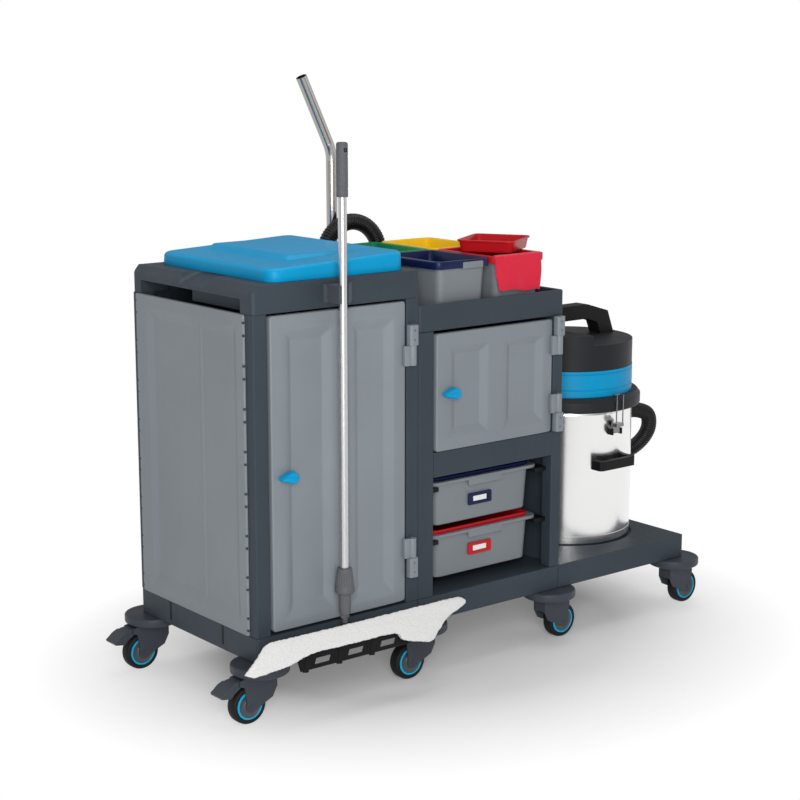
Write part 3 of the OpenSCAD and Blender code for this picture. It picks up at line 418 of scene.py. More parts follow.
def relief(name, lo, hi, thick, height, place, mat, roll, corner, n=(130, 190)):
    """Moulded board: a grid over lo..hi lifted by height(u, v), on a flat back.

    Its corners are drawn in to a round and its rim is rolled back by a quarter round."""
    near = np.array([0, 0.08, 0.25, 0.5, 0.75]) * roll
    axes = []
    for k in range(2):
        between = np.linspace(lo[k] + roll, hi[k] - roll, n[k])
        axes.append(np.concatenate([lo[k] + near, between, hi[k] - near[::-1]]))
    grid = np.meshgrid(*axes, indexing="ij")
    half = [(hi[k] - lo[k]) / 2 for k in range(2)]
    mids = [(hi[k] + lo[k]) / 2 for k in range(2)]
    past = [np.maximum(np.abs(W - mids[k]) - half[k] + corner, 0) for k, W in enumerate(grid)]
    far = np.hypot(*past)
    pull = np.where(far > corner, corner / np.maximum(far, 1e-9), 1.0)

    def drawn_in(k):
        across = grid[k] - mids[k]
        return mids[k] + np.sign(across) * (np.minimum(np.abs(across), half[k] - corner) + past[k] * pull)

    U, V = drawn_in(0), drawn_in(1)
    d = np.clip(inside(U, V, lo, hi, corner), 0, roll)
    H = height(U, V) - (roll - np.sqrt(np.maximum(roll**2 - (roll - d) ** 2, 0)))
    U, V = np.pad(U, 1, "edge"), np.pad(V, 1, "edge")
    H = np.pad(H, 1, constant_values=-thick)
    P = np.stack(place(U, V, H), -1)
    a, b = P.shape[:2]
    ids = np.arange(a * b).reshape(a, b)
    rim = np.concatenate([ids[0, :], ids[1:, -1], ids[-1, -2::-1], ids[-2:0:-1, 0]])
    return make(name, P, quads(a, b).tolist() + [rim.tolist()], mat)


# Camera, floor and light

CAMERA_AT = (-3.155, -3.8039, 1.6773)
CAMERA_DOWN = 11.316
CAMERA_RIGHT = 38.787
FLOOR_HALF = 14
SHADOW_REACH = (2.0, 1.7)
PANEL_TURN = 1.78

lens = bpy.data.cameras.new("camera")
lens.lens = 80.0
lens.sensor_width = 36.0
camera = placed("camera", lens)
camera.location = CAMERA_AT
camera.rotation_euler = (math.radians(90 - CAMERA_DOWN), 0, math.radians(-CAMERA_RIGHT))
bpy.context.scene.camera = camera
bpy.context.scene.view_settings.view_transform = "Standard"


def seen(t):
    """One for rays of the camera, of reflections and of clear materials, nought for the others."""
    rays = t.nodes.new("ShaderNodeLightPath").outputs
    value = rays["Is Camera Ray"]
    for name in ("Is Glossy Ray", "Is Transmission Ray"):
        value = math_node(t, "MAXIMUM", value, rays[name])
    return value


def floor():
    """Pale floor that shows soft shadows near the cart and fades to white away from it."""
    m, t, b, links = node_tree("floor_pale")
    b.inputs["Roughness"].default_value = 0.6
    b.inputs["Specular IOR Level"].default_value = 0.2
    clouds = spread(t, noise(t, 3.0, 4.0), 0, 1)
    links.new(two_tone(t, clouds, (0.86, 0.85, 0.85), (0.90, 0.89, 0.89)), b.inputs["Base Color"])
    co = t.nodes.new("ShaderNodeTexCoord")
    mapping = t.nodes.new("ShaderNodeMapping")
    mapping.inputs["Scale"].default_value = (1 / SHADOW_REACH[0], 1 / SHADOW_REACH[1], 0)
    away = t.nodes.new("ShaderNodeVectorMath")
    away.operation = "LENGTH"
    links.new(co.outputs["Object"], mapping.inputs["Vector"])
    links.new(mapping.outputs["Vector"], away.inputs[0])
    white = t.nodes.new("ShaderNodeEmission")
    mix = t.nodes.new("ShaderNodeMixShader")
    fade = math_node(t, "MULTIPLY", spread(t, away.outputs["Value"], 0.14, 1.0, 0.30, 0.58), seen(t))
    links.new(fade, mix.inputs["Fac"])
    links.new(b.outputs["BSDF"], mix.inputs[1])
    links.new(white.outputs["Emission"], mix.inputs[2])
    links.new(mix.outputs["Shader"], t.nodes["Material Output"].inputs["Surface"])
    me = bpy.data.meshes.new("floor")
    corners = [(x * FLOOR_HALF, y * FLOOR_HALF, 0) for x, y in ((-1, -1), (1, -1), (1, 1), (-1, 1))]
    me.from_pydata(corners, [], [(0, 1, 2, 3)])
    me.materials.append(m)
    placed("floor", me)


def light(name, at, aim, size, power):
    """A broad lamp that faces the point it is aimed at."""
    lamp = bpy.data.lights.new(name, "AREA")
    lamp.shape = "RECTANGLE"
    lamp.size, lamp.size_y = size
    lamp.energy = power
    o = placed(name, lamp)
    o.location = at
    o.rotation_euler = (Vector(aim) - Vector(at)).to_track_quat("-Z", "Y").to_euler()


def studio():
    """White room: pure white to the camera and softer white as light.

    For reflections, three broad pale panels stand round it, a sine of three turns."""
    w = bpy.data.worlds.new("studio")
    bpy.context.scene.world = w
    w.use_nodes = True
    t = w.node_tree
    bg = t.nodes["Background"]
    bg.inputs["Color"].default_value = (1, 1, 1, 1)
    rays = t.nodes.new("ShaderNodeLightPath").outputs
    co = t.nodes.new("ShaderNodeTexCoord")
    way = t.nodes.new("ShaderNodeSeparateXYZ")
    t.links.new(co.outputs["Generated"], way.inputs["Vector"])
    turn = math_node(t, "ARCTAN2", way.outputs["Y"], way.outputs["X"])
    wave = math_node(t, "SINE", math_node(t, "ADD", math_node(t, "MULTIPLY", turn, 3.0), PANEL_TURN))
    panels = math_node(t, "MULTIPLY", spread(t, wave, 0.10, 0.75, -0.7, 0.8), rays["Is Glossy Ray"])
    room = math_node(t, "ADD", panels, spread(t, rays["Is Camera Ray"], 0.24, 1.0, 0, 1))
    t.links.new(room, bg.inputs["Strength"])
    light("key", (-3.1, -4.1, 1.9), (0, 0, 0.6), (1.8, 3.0), 185)
    light("fill", (3.4, -3.0, 2.2), (0.4, 0, 0.5), (2.4, 2.4), 14)
    light("top", (0.2, 0.3, 4.2), (0, 0, 0.5), (3.4, 2.4), 56)


floor()
studio()


# Hose

HOSE = [
    (0.776, -0.0196, 0.558), (0.826, -0.024, 0.558), (0.884, -0.020, 0.536), (0.908, -0.004, 0.488),
    (0.906, 0.026, 0.440), (0.884, 0.068, 0.400), (0.838, 0.118, 0.374), (0.764, 0.172, 0.360),
    (0.676, 0.222, 0.358), (0.578, 0.264, 0.366), (0.476, 0.294, 0.386), (0.374, 0.310, 0.420),
    (0.278, 0.312, 0.474), (0.194, 0.312, 0.550), (0.128, 0.312, 0.640), (0.088, 0.312, 0.745),
    (0.074, 0.312, 0.855), (0.073, 0.312, 0.965), (0.073, 0.312, 1.070), (0.0594, 0.312, 1.121),
    (0.0222, 0.312, 1.158), (-0.0285, 0.312, 1.172), (-0.0792, 0.312, 1.158), (-0.1164, 0.312, 1.121),
    (-0.130, 0.312, 1.070), (-0.130, 0.312, 0.965), (-0.130, 0.312, 0.860), (-0.130, 0.312, 0.750),
    (-0.130, 0.312, 0.700),
]
HOSE_RADIUS = 0.024
RIB_DEPTH = 0.0024
RIB_PITCH = 0.008
CUFF_BORE, CUFF_RADIUS, CUFF_ROUND = 0.0165, 0.027, 0.0025
CUFF_TOP, CUFF_FOOT = 0.700, 0.610


def cuff():
    """Cuff on the hose's far end: a turned sleeve with a groove below its rounded top."""
    corner = CUFF_RADIUS - CUFF_ROUND
    profile = [(CUFF_BORE, CUFF_TOP), (HOSE_RADIUS, CUFF_TOP)]
    profile += arc((corner, CUFF_TOP - CUFF_ROUND), CUFF_ROUND, 90, 0)
    profile += [(CUFF_RADIUS, 0.685), (0.0255, 0.683), (0.0255, 0.679), (CUFF_RADIUS, 0.677), (0.0262, 0.630)]
    profile += arc((corner, CUFF_FOOT + CUFF_ROUND), CUFF_ROUND, 0, -90)
    profile += [(CUFF_BORE, CUFF_FOOT), (CUFF_BORE, CUFF_TOP)]
    o = lathe("hose_cuff", profile, (HOSE[-1][0], HOSE[-1][1], 0), "black", 48)
    done(o, "cart", slot="black_plastic")
    return o


def hose():
    """Ribbed tube along the route: its radius rises and falls as a rounded wave, plain near both ends."""
    path, s = even(smooth(HOSE), 0.0016)
    wave = np.clip(np.cos(TAU * s / RIB_PITCH) * 1.6, -1, 1)
    ribbed = step(s, 0.012, 0.024) * step(s[-1] - s, 0.012, 0.024)
    o = tube("hose", path, HOSE_RADIUS - RIB_DEPTH / 2 * (1 - wave) * ribbed, "hose", 22)
    done(o, "cart", "vac_hose", sharp=60)
    fitting = cuff()


hose()


# Cabinets

# CAD nodes that keep their shape: material and how far their edges are rounded
ROUNDED = (
    ("tall_base", "frame", 0.003), ("mid_base", "frame", 0.003), ("vac_platform", "frame", 0.004),
    ("corner_posts", "frame", 0.003), ("tall_top_frame", "frame", 0.006), ("mid_top_tray", "frame", 0.004),
    ("mid_shelf", "frame", 0.0025), ("inner_panels", "frame", 0.0008), ("hinge_leaves", "panel", 0.0014),
    ("drawer_runners", "black", 0.0015), ("tool_clips", "clip", 0.002), ("mop_plate", "black", 0.0014),
    ("vac_head", "head", 0.006), ("latch_front", "wire", 0.0007), ("latch_rear", "wire", 0.0007),
    ("wand", "chrome", 0.0005), ("mop_pole", "pole", 0.0004), ("pedal_1", "caster", 0.003),
    ("pedal_5", "caster", 0.003),
)
CASTERS = range(1, 9)
DRUM_SIDE_X = 0.2
DOOR_FACE = -0.285
DOOR_THICK = 0.016
CHANNEL_DEPTH = 0.012
LEFT_ROLL = 2.8
HINGE_Y = -0.291
TALL_HINGE_X = -0.290
MID_HINGE_X = 0.234
KNUCKLE_LENGTH = 0.053
END_FACE = -0.785

for node, mat, width in ROUNDED:
    soften(node, mat, width)
for k in CASTERS:
    soften("fork_%d" % k, "caster", 0.003)
# The hose's cuff is a solid of the same node, and a turned piece of its own here
soften("vac_fittings", "black", 0.005, keep=lambda place: place.x > DRUM_SIDE_X)


def knuckles(hinge_x, edge, feet):
    """Round door halves of the hinges, turned with rounded edges, and their leaves."""
    bore, r, rounding = 0.0041, 0.0095, 0.001
    out = []
    for z in feet:
        top = z + KNUCKLE_LENGTH
        profile = [(bore, z), (r, z)] + arc((r, z + rounding), rounding, -90, 0, 4)
        profile += arc((r, top - rounding), rounding, 0, 90, 4) + [(bore, top), (bore, z)]
        out.append(lathe("knuckle", profile, (hinge_x, HINGE_Y, 0), "panel", 40))
        lo, hi = (edge - 0.012, HINGE_Y - 0.004, z), (hinge_x - 0.002, DOOR_FACE + 0.0015, top)
        out.append(block("leaf", lo, hi, 0.0014, "panel"))
    return out


def screws():
    """Two domed screw heads, turned, on each fixed hinge leaf."""
    head = [(0, -0.0016), (0.0026, -0.0014), (0.0034, 0), (0.0034, 0.001), (0, 0.001)]
    leaf_face = -0.302
    out = []
    for x, foot in ((TALL_HINGE_X, 0.293), (TALL_HINGE_X, 0.915), (MID_HINGE_X, 0.617), (MID_HINGE_X, 0.888)):
        for up in (0.014, 0.039):
            out.append(lathe("screw", head, (x, leaf_face, foot + up), "wire", 20, axis=1))
    done(joined("hinge_screws", out), "cart", slot="bright_steel")


screws()


def sunk(u, v, lo, hi, slopes):
    """How far a point is down in a mitred recess, nought outside it and one on its floor.

    It is the least of four rises, from the left, right, foot and top. The left one rolls over."""
    ways = zip((u - lo[0], hi[0] - u, v - lo[1], hi[1] - v), slopes, (LEFT_ROLL, 1.0, 1.0, 1.0))
    return np.minimum.reduce([np.clip(d / w, 0, 1) ** k for d, w, k in ways])


def door(name, lo, hi, channels, slopes, hinge_x, feet):
    """Door board: two deep channels with long mitred slopes, a field between them and a bent-back edge."""
    bend_width, bend_depth = 0.044, 0.004

    def height(u, v):
        h = -bend_depth * np.clip((u - hi[0] + bend_width) / bend_width, 0, 1) ** 2
        for f in channels:
            h = h - CHANNEL_DEPTH * sunk(u, v, *f, slopes)
        return h

    board = relief(name + "_board", lo, hi, DOOR_THICK, height, lambda u, v, h: (u, DOOR_FACE - h, v),
        "panel", 0.004, 0.008)
    done(joined(name + "_moulded", [board] + knuckles(hinge_x, hi[0], feet)), name, name)


door("tall_door", (-0.732, 0.228), (-0.306, 1.030),
    [((-0.714, 0.254), (-0.542, 0.992)), ((-0.506, 0.254), (-0.346, 0.992))],
    (0.048, 0.028, 0.036, 0.028), TALL_HINGE_X, (0.3463, 0.8617))
door("mid_door", (-0.203, 0.616), (0.218, 0.933),
    [((-0.178, 0.650), (-0.021, 0.893)), ((0.018, 0.650), (0.181, 0.893))],
    (0.044, 0.024, 0.024, 0.022), MID_HINGE_X, (0.6703, 0.8347))


def end_panel():
    """End panel: a broad mitred field with a fold down its middle, and dark clip notches along both edges."""
    lo, hi = (-0.247, 0.219), (0.260, 1.035)
    field, slopes, deep = ((-0.222, 0.250), (0.207, 1.004)), (0.022, 0.026, 0.034, 0.030), 0.0085
    fold_y, fold_half, fold_height = -0.045, 0.0065, 0.0026
    first_notch, notch_pitch, pair_gap, half = 1.0155, 0.107, 0.032, 0.0035

    def height(y, z):
        fold = fold_height * np.maximum(1 - np.abs(y - fold_y) / fold_half, 0)
        return sunk(y, z, *field, slopes) * (fold - deep)

    out = [relief("end_board", lo, hi, 0.010, height, lambda u, v, h: (END_FACE - h, u, v),
        "panel", 0.003, 0.006, (190, 190))]
    for k in range(8):
        z_first = first_notch - notch_pitch * k
        for z in (z_first, z_first - pair_gap):
            for y0, y1 in ((-0.2478, -0.2412), (0.2545, 0.2606)):
                corners = (END_FACE - 0.0003, y0, z - half), (END_FACE + 0.0045, y1, z + half)
                out.append(block("notch", *corners, 0.0008, "frame", 1))
    done(joined("end_panel_moulded", out), "cart", "end_panel")


end_panel()


def groove_shade_strips():
    """Black strips on the floors of the two upright grooves in the tall base tray's end: painted shade for
    the dark depth of the grooves.
    """
    half = 0.0046
    out = []
    for y in (-0.121, 0.132):
        lo, hi = (-0.7790, y - half, 0.166), (-0.7757, y + half, 0.2185)
        # A thin black block on the groove's floor: painted shade where the groove is dark inside.
        out.append(block("groove", lo, hi, 0.0005, "black", 1))
    done(joined("groove_shade_strips", out), "cart", slot="black_plastic")


groove_shade_strips()


def knob(name, x, z):
    """Teardrop knob: the outline round two circles, stacked to the front and drawn in over a rounded top."""
    big, small, apart, straight = 0.016, 0.0057, 0.0305, 0.012
    a = np.linspace(0, TAU, 72, endpoint=False)
    tip = np.abs(a - math.pi) < math.acos((big - small) / apart)
    dome = [(0.0046 * (1 - math.cos(q)), straight + 0.0115 * math.sin(q)) for q in np.linspace(0.2, 1.5, 7)]
    rows = []
    for drawn_in, out in [(0.001, 0), (0, 0.001), (0, straight)] + dome:
        r = np.where(tip, small - drawn_in, big - 1.8 * drawn_in)
        y = np.full_like(a, DOOR_FACE - 0.0003 - out)
        rows.append(np.stack([x - apart * tip + r * np.cos(a), y, z + r * np.sin(a)], -1))
    turn = skin("turn", np.stack(rows), "blue")
    wing = block("wing", (x - 0.031, -0.3112, z - 0.0035), (x + 0.013, -0.3035, z + 0.0035), 0.0025, "blue")
    rod = [(0, -0.286), (0.006, -0.286), (0.006, -0.2335), (0.005, -0.2325), (0, -0.2325)]
    spindle = lathe("spindle", rod, (x, 0, z), "black", 28, axis=1)
    tongue = block("tongue", (x - 0.007, -0.239, z - 0.066), (x + 0.007, -0.234, z + 0.009), 0.001, "wire")
    done(joined(name + "_moulded", [turn, wing, spindle, tongue]), name, name)


knob("tall_knob", -0.678, 0.623)
knob("mid_knob", -0.149, 0.771)


def lid():
    """Waste lid: rounded-rectangle loops from the middle of its hollow, round the rim and over its top.

    The top slopes up to the right and has a level raised field."""
    left, right, deep, foot, rise = -0.710, -0.285, 0.520, 1.1073, 0.017
    wide, middle, corner, inmost = right - left, (left + right) / 2, 0.034, 0.2120
    field_lo, field_hi, field_top = (left + 0.112, -0.170), (right - 0.030, 0.215), foot + 0.0503
    pin_x, pin_z, eye_half = -0.275, 1.117, 0.021

    def top(x, y):
        z = foot + 0.033 + rise * np.clip((x - left - 0.014) / (wide - 0.026), 0, 1)
        return z + (field_top - z) * step(inside(x, y, field_lo, field_hi, 0.026), 0, 0.020)

    def hollow(x, y):
        return foot + 0.028 + rise * np.clip((x - left) / wide, 0, 1)

    def ring(i, z):
        p = loop(wide - 2 * i, deep - 2 * i, max(corner - i, 0.004), 9, 60) + (middle, 0)
        return np.column_stack([p, z(p[:, 0], p[:, 1]) if callable(z) else np.full(len(p), z)])

    rows = [ring(i, hollow) for i in np.linspace(inmost, 0.008, 24)]
    rows.append(ring(0.0045, lambda x, y: hollow(x, y) - 0.004))
    rows += [ring(0.004, foot), ring(0.0005, foot), ring(0.0, foot + 0.001)]
    for q in np.linspace(0, math.pi / 2, 9):
        i = 0.0015 + 0.014 * (1 - math.cos(q))
        rows.append(ring(i, lambda x, y: top(x, y) - 0.012 * (1 - math.sin(q))))
    rows += [ring(i, top) for i in np.linspace(0.0175, inmost, 46)]
    out = [skin("shell", np.stack(rows), "blue")]
    for y in (-0.150, 0.150):
        ends = y - eye_half, y + eye_half
        profile = [(0.0031, ends[0]), (0.0062, ends[0]), (0.007, y - 0.020), (0.007, y + 0.020)]
        profile += [(0.0062, ends[1]), (0.0031, ends[1]), (0.0031, ends[0])]
        out.append(lathe("eye", profile, (pin_x, 0, pin_z), "blue", 32, axis=1))
        lo, hi = (right - 0.008, ends[0], 1.1155), (pin_x - 0.002, ends[1], 1.1238)
        out.append(block("lug", lo, hi, 0.0012, "blue"))
    done(joined("waste_lid_moulded", out), "lid", "waste_lid")


lid()


# Drawers, pails and cloth

DRAWER_AT = (0.005, -0.015)
DRAWER_FRONT = -0.250
DRAWER_HEIGHT = 0.125
PAIL_FOOT, PAIL_RIM, LINER_RIM = 0.9523, 1.1133, 1.1160
PAIL_AT = {
    "navy": (-0.080, -0.129), "red": (0.120, -0.129), "green": (-0.080, 0.129), "yellow": (0.120, 0.129),
}


def drawer(node, rim):
    """Tapered tub: loops up its outside, round its rim and down its inside, with a pull lip and two stops."""
    foot = rim - DRAWER_HEIGHT
    tub = loft("tub", [
        (0.328, 0.427, 0.018, foot), (0.336, 0.435, 0.022, foot + 0.003),
        (0.347, 0.446, 0.022, rim - 0.012), (0.349, 0.448, 0.022, rim - 0.009),
        (0.392, 0.468, 0.025, rim - 0.009), (0.394, 0.470, 0.026, rim - 0.0075),
        (0.394, 0.470, 0.026, rim - 0.0015), (0.3915, 0.4675, 0.025, rim),
        (0.346, 0.445, 0.021, rim), (0.343, 0.442, 0.020, rim - 0.002),
        (0.331, 0.430, 0.018, foot + 0.006), (0.325, 0.424, 0.016, foot + 0.003),
    ], "tub", DRAWER_AT)
    y = DRAWER_FRONT
    lip = block("lip", (-0.057, y - 0.0005, rim - 0.0245), (0.067, y + 0.005, rim - 0.006), 0.002, "tub")
    out = [tub, lip]
    for x in (DRAWER_AT[0] - 0.190, DRAWER_AT[0] + 0.190):
        lo, hi = (x - 0.006, y + 0.004, rim - 0.0165), (x + 0.006, y + 0.030, rim - 0.0095)
        out.append(block("stop", lo, hi, 0.0015, "tub"))
    done(joined(node + "_moulded", out), node, node)


def drawer_trim(node, rim, z, colour):
    """Label frame with a sunk window and a blank card, and the coloured liner, loops as the tub's."""
    x, y = DRAWER_AT[0] - 0.014, DRAWER_FRONT + 0.0115
    window = (x - 0.030, z - 0.009), (x + 0.030, z + 0.009)
    plate = relief("plate", (x - 0.042, z - 0.0165), (x + 0.042, z + 0.0165), 0.004,
        lambda u, v: -0.0022 * step(inside(u, v, *window, 0.002), 0, 0.0012),
        lambda u, v, h: (u, y - 0.004 - h, v), colour, 0.0012, 0.004, (90, 50))
    lo, hi = (x - 0.024, y - 0.0024, z - 0.007), (x + 0.024, y - 0.0015, z + 0.007)
    card = block("card", lo, hi, 0.0003, "card", 1)
    tub_liner = loft("liner", [
        (0.320, 0.412, 0.016, rim - 0.060), (0.328, 0.420, 0.016, rim - 0.057),
        (0.340, 0.432, 0.018, rim - 0.002), (0.340, 0.432, 0.018, rim + 0.0005),
        (0.354, 0.438, 0.021, rim + 0.0005), (0.356, 0.440, 0.022, rim + 0.002),
        (0.356, 0.440, 0.022, rim + 0.007), (0.353, 0.437, 0.021, rim + 0.009),
        (0.339, 0.431, 0.018, rim + 0.009), (0.335, 0.427, 0.016, rim + 0.006),
        (0.324, 0.416, 0.014, rim - 0.054), (0.318, 0.410, 0.012, rim - 0.0575),
    ], colour, DRAWER_AT)
    done(joined(node + "_trim_moulded", [plate, card, tub_liner]), node, node + "_trim")


# Each drawer's rim height, label height and colour
DRAWERS = {"upper_drawer": (0.520, 0.454, "navy"), "lower_drawer": (0.373, 0.313, "red")}
for node, (rim, label_z, colour) in DRAWERS.items():
    drawer(node, rim)
    drawer_trim(node, rim, label_z, colour)


def pail(c):
    """Grey pail: loops up its tapered outside, round its rim and down its inside, with a lug in front."""
    foot, rim = PAIL_FOOT, PAIL_RIM
    body = loft("pail", [
        (0.146, 0.212, 0.018, foot), (0.152, 0.218, 0.020, foot + 0.003),
        (0.165, 0.231, 0.020, rim - 0.024), (0.166, 0.232, 0.020, rim - 0.006),
        (0.180, 0.238, 0.023, rim - 0.006), (0.182, 0.240, 0.024, rim - 0.004),
        (0.182, 0.240, 0.024, rim - 0.001), (0.180, 0.238, 0.023, rim),
        (0.162, 0.228, 0.018, rim), (0.160, 0.226, 0.017, rim - 0.003),
        (0.148, 0.214, 0.016, foot + 0.005), (0.142, 0.208, 0.014, foot + 0.003),
    ], "tub", c)
    lo, hi = (c[0] - 0.008, c[1] - 0.1262, rim - 0.021), (c[0] + 0.064, c[1] - 0.113, rim - 0.0015)
    return [body, block("lug", lo, hi, 0.003, "tub")]


def liner(c, mat):
    """Coloured liner: loops up a cup's outside, round a rim that turns out and down, and down its inside."""
    rim = LINER_RIM
    return loft("liner", [
        (0.140, 0.206, 0.014, rim - 0.100), (0.147, 0.213, 0.016, rim - 0.097),
        (0.159, 0.225, 0.016, rim - 0.005), (0.161, 0.227, 0.018, rim - 0.0025),
        (0.183, 0.241, 0.022, rim - 0.0025), (0.1845, 0.2425, 0.022, rim - 0.004),
        (0.1845, 0.2425, 0.022, rim - 0.0195), (0.1855, 0.2435, 0.0225, rim - 0.020),
        (0.191, 0.249, 0.0255, rim - 0.020), (0.192, 0.250, 0.026, rim - 0.019),
        (0.192, 0.250, 0.026, rim - 0.003), (0.1912, 0.2492, 0.0256, rim - 0.0012),
        (0.189, 0.247, 0.0245, rim), (0.160, 0.226, 0.017, rim), (0.156, 0.222, 0.016, rim - 0.003),
        (0.143, 0.209, 0.014, rim - 0.094), (0.137, 0.203, 0.012, rim - 0.0975),
    ], mat, c)


for colour, c in PAIL_AT.items():
    node = colour + "_pail"
    if colour + "_liner" in NODES:
        done(joined(node + "_moulded", pail(c)), node, node)
        done(joined(colour + "_liner_moulded", [liner(c, colour)]), node, colour + "_liner")
    else:
        done(joined(node + "_moulded", pail(c) + [liner(c, colour)]), node, node)


def red_tray():
    """Loose tray: loops up its slanting outside, round its broad rolled rim and down its inside."""
    foot, rim = 1.1163, 1.1503
    tray = loft("tray", [
        (0.154, 0.142, 0.012, foot), (0.160, 0.148, 0.014, foot + 0.002),
        (0.170, 0.157, 0.014, rim - 0.006), (0.171, 0.158, 0.014, rim - 0.005),
        (0.183, 0.163, 0.017, rim - 0.005), (0.185, 0.165, 0.018, rim - 0.0035),
        (0.185, 0.165, 0.018, rim - 0.001), (0.1835, 0.1635, 0.017, rim),
        (0.169, 0.156, 0.012, rim), (0.166, 0.153, 0.012, rim - 0.002),
        (0.156, 0.144, 0.012, foot + 0.0045), (0.150, 0.138, 0.010, foot + 0.0025),
    ], "red", (0.143, -0.117), math.radians(32))
    done(joined("red_tray_moulded", [tray]), "red_tray", "red_tray")


red_tray()


def red_cloth():
    """Limp cloth over the pail's front rim: a line up the inside, over the rim and down the front.

    It narrows inside the pail, and its soft folds, products of waves, deepen downwards."""
    rim_y, rim_z, middle = -0.254, LINER_RIM, 0.108
    across_rim = np.array([
        (0.0185, -0.048), (0.0185, -0.020), (0.0180, -0.001), (0.0150, 0.0022), (0.0070, 0.0024),
        (-0.0005, 0.0022), (-0.0032, -0.0015), (-0.0034, -0.020), (-0.0036, -0.050), (-0.0038, -0.100),
    ]) + (rim_y, rim_z)
    line, s = even(np.column_stack([np.zeros(len(across_rim)), across_rim]), 0.002)
    S, U = np.meshgrid(s / s[-1], np.linspace(-1, 1, 61), indexing="ij")
    front, low = step(S, 0.44, 0.62), step(S, 0.5, 1.0)
    half = 0.064 + 0.020 * step(S, 0.26, 0.36) - 0.007 * low + 0.002 * front * np.sin(9 * S + 1.3)
    X = middle + U * half + 0.006 * front * (S - 0.5)
    fold = 0.5 + 0.5 * np.sin(5.2 * U + 1.1 + 2.2 * S) * np.cos(2.3 * U - 0.7)
    Y = line[:, 1][:, None] - front * (0.0003 + 0.0022 * fold * low)
    Z = line[:, 2][:, None] + front * low * (0.005 * (1 - U) - 0.002 * np.sin(6 * U))
    o = make("red_cloth_draped", np.stack([X, Y, Z], -1), quads(*S.shape), "red_cloth")
    done(o, "red_pail", "red_cloth", sharp=70)
    m = o.modifiers.new("thickness", "SOLIDIFY")
    m.thickness = 0.0016
    m.offset = 0.0


red_cloth()


# Vacuum

VAC_AT = (0.552, 0.0, 0.0)
DRUM_RADIUS = 0.195
BAND_RADIUS = 0.193


def drum():
    """Steel drum: a turned shell with a rounded foot, a bead above it and another below its mouth."""
    r, foot, wall = DRUM_RADIUS, 0.208, 0.002
    profile = [(0, foot), (r - 0.017, foot)] + arc((r - 0.014, foot + 0.014), 0.014, -90, 0, 8)
    profile += [(r, 0.240), (r + 0.0006, 0.2408), (r + 0.0006, 0.2432), (r, 0.244)]
    profile += [(r, 0.606), (r + 0.0007, 0.6075), (r + 0.0007, 0.611), (r, 0.6125), (r, 0.620)]
    profile += [(r - wall, 0.620), (r - wall, 0.223), (0.180, foot + wall), (0, foot + wall)]
    done(lathe("drum", profile, VAC_AT, "drum", 128), "cart", "vac_drum")


def band():
    """Blue band: a turned ring with two grooves."""
    r, floor_r, bore, foot, top = BAND_RADIUS, 0.1912, 0.188, 0.663, 0.740
    profile = [(bore, foot), (r, foot)]
    profile += [(r, 0.6815), (floor_r, 0.683), (floor_r, 0.685), (r, 0.6865)]
    profile += [(r, 0.7285), (floor_r, 0.7300), (floor_r, 0.7315), (r, 0.733)]
    profile += [(r, top), (bore, top), (bore, foot)]
    done(lathe("band", profile, VAC_AT, "blue", 128), "cart", "vac_band")


drum()
band()


# Mop

MOP_AT = (-0.540, -0.325, 0)
MOP_PLANE = (-0.780, -0.342, 0.226)


def mop_grip():
    """Grip: a turned sleeve with two ring grooves and a domed end, and the rim of its hanging hole."""
    bore, r, groove, foot = 0.011, 0.0145, 0.0139, 1.312
    profile = [(bore, foot), (0.0138, foot), (r, 1.313)]
    for z in (1.330, 1.408):
        profile += [(r, z), (groove, z + 0.001), (groove, z + 0.003), (r, z + 0.004)]
    profile += arc((r - 0.006, 1.439), 0.006, 0, 90, 8)
    profile += [(0, 1.445), (0, 1.438), (bore, 1.437), (bore, foot)]
    eyelet = [(0.0022, -0.0148), (0.0048, -0.0152), (0.0056, -0.0142), (0.0048, -0.0128), (0.0022, -0.0128)]
    hole = lathe("hang_hole", eyelet + eyelet[:1], (*MOP_AT[:2], 1.426), "black", 28, axis=1)
    return [lathe("grip", profile, MOP_AT, "grip", 48), hole]


def mop_collar():
    """Collar: radii over heights, cut in by eighteen flutes, the root of a cosine's size, in its middle."""
    height_radius_flute = np.array([
        (0.3050, 0.0170, 0), (0.3055, 0.0218, 0), (0.3080, 0.0246, 0), (0.3110, 0.0254, 0),
        (0.3210, 0.0254, 0), (0.3225, 0.0246, 0), (0.3250, 0.0242, 0.0004), (0.3300, 0.0238, 0.0016),
        (0.3440, 0.0224, 0.0019), (0.3580, 0.0208, 0.0016), (0.3685, 0.0194, 0.0004), (0.3715, 0.0182, 0),
        (0.3730, 0.0140, 0),
    ])
    z, r, deep = height_radius_flute.T[..., None]
    a = np.linspace(0, TAU, 144, endpoint=False)
    R = r - deep * (1 - np.sqrt(np.abs(np.cos(9 * a))))
    x, y = MOP_AT[0] + R * np.cos(a), MOP_AT[1] + R * np.sin(a)
    return skin("collar", np.stack([x, y, np.broadcast_to(z, R.shape)], -1), "grip")


def mop_socket():
    """Turned socket below the collar, with a square stem and neck and a turned eye on the pivot pin."""
    x, y = MOP_AT[:2]
    profile = [(0, 0.2495), (0.0118, 0.2495), (0.0134, 0.2510), (0.0142, 0.2550), (0.0152, 0.2700)]
    socket = lathe("socket", profile + [(0.0160, 0.306), (0, 0.306)], MOP_AT, "grip", 40)
    stem = block("stem", (x - 0.005, y - 0.005, 0.2155), (x + 0.005, y + 0.005, 0.250), 0.001, "grip")
    neck = block("neck", (x - 0.0118, y - 0.0053, 0.2385), (x + 0.0118, y + 0.0053, 0.2505), 0.003, "grip")
    half = [(0.0031, -0.005), (0.0064, -0.005), (0.007, -0.0044)]
    profile = half + [(r, -h) for r, h in half[::-1]] + half[:1]
    return [socket, stem, neck, lathe("eye", profile, (x, y, 0.215), "grip", 32, axis=0)]


done(joined("mop_fittings_moulded", mop_grip() + [mop_collar()] + mop_socket()), "mop", "mop_fittings")


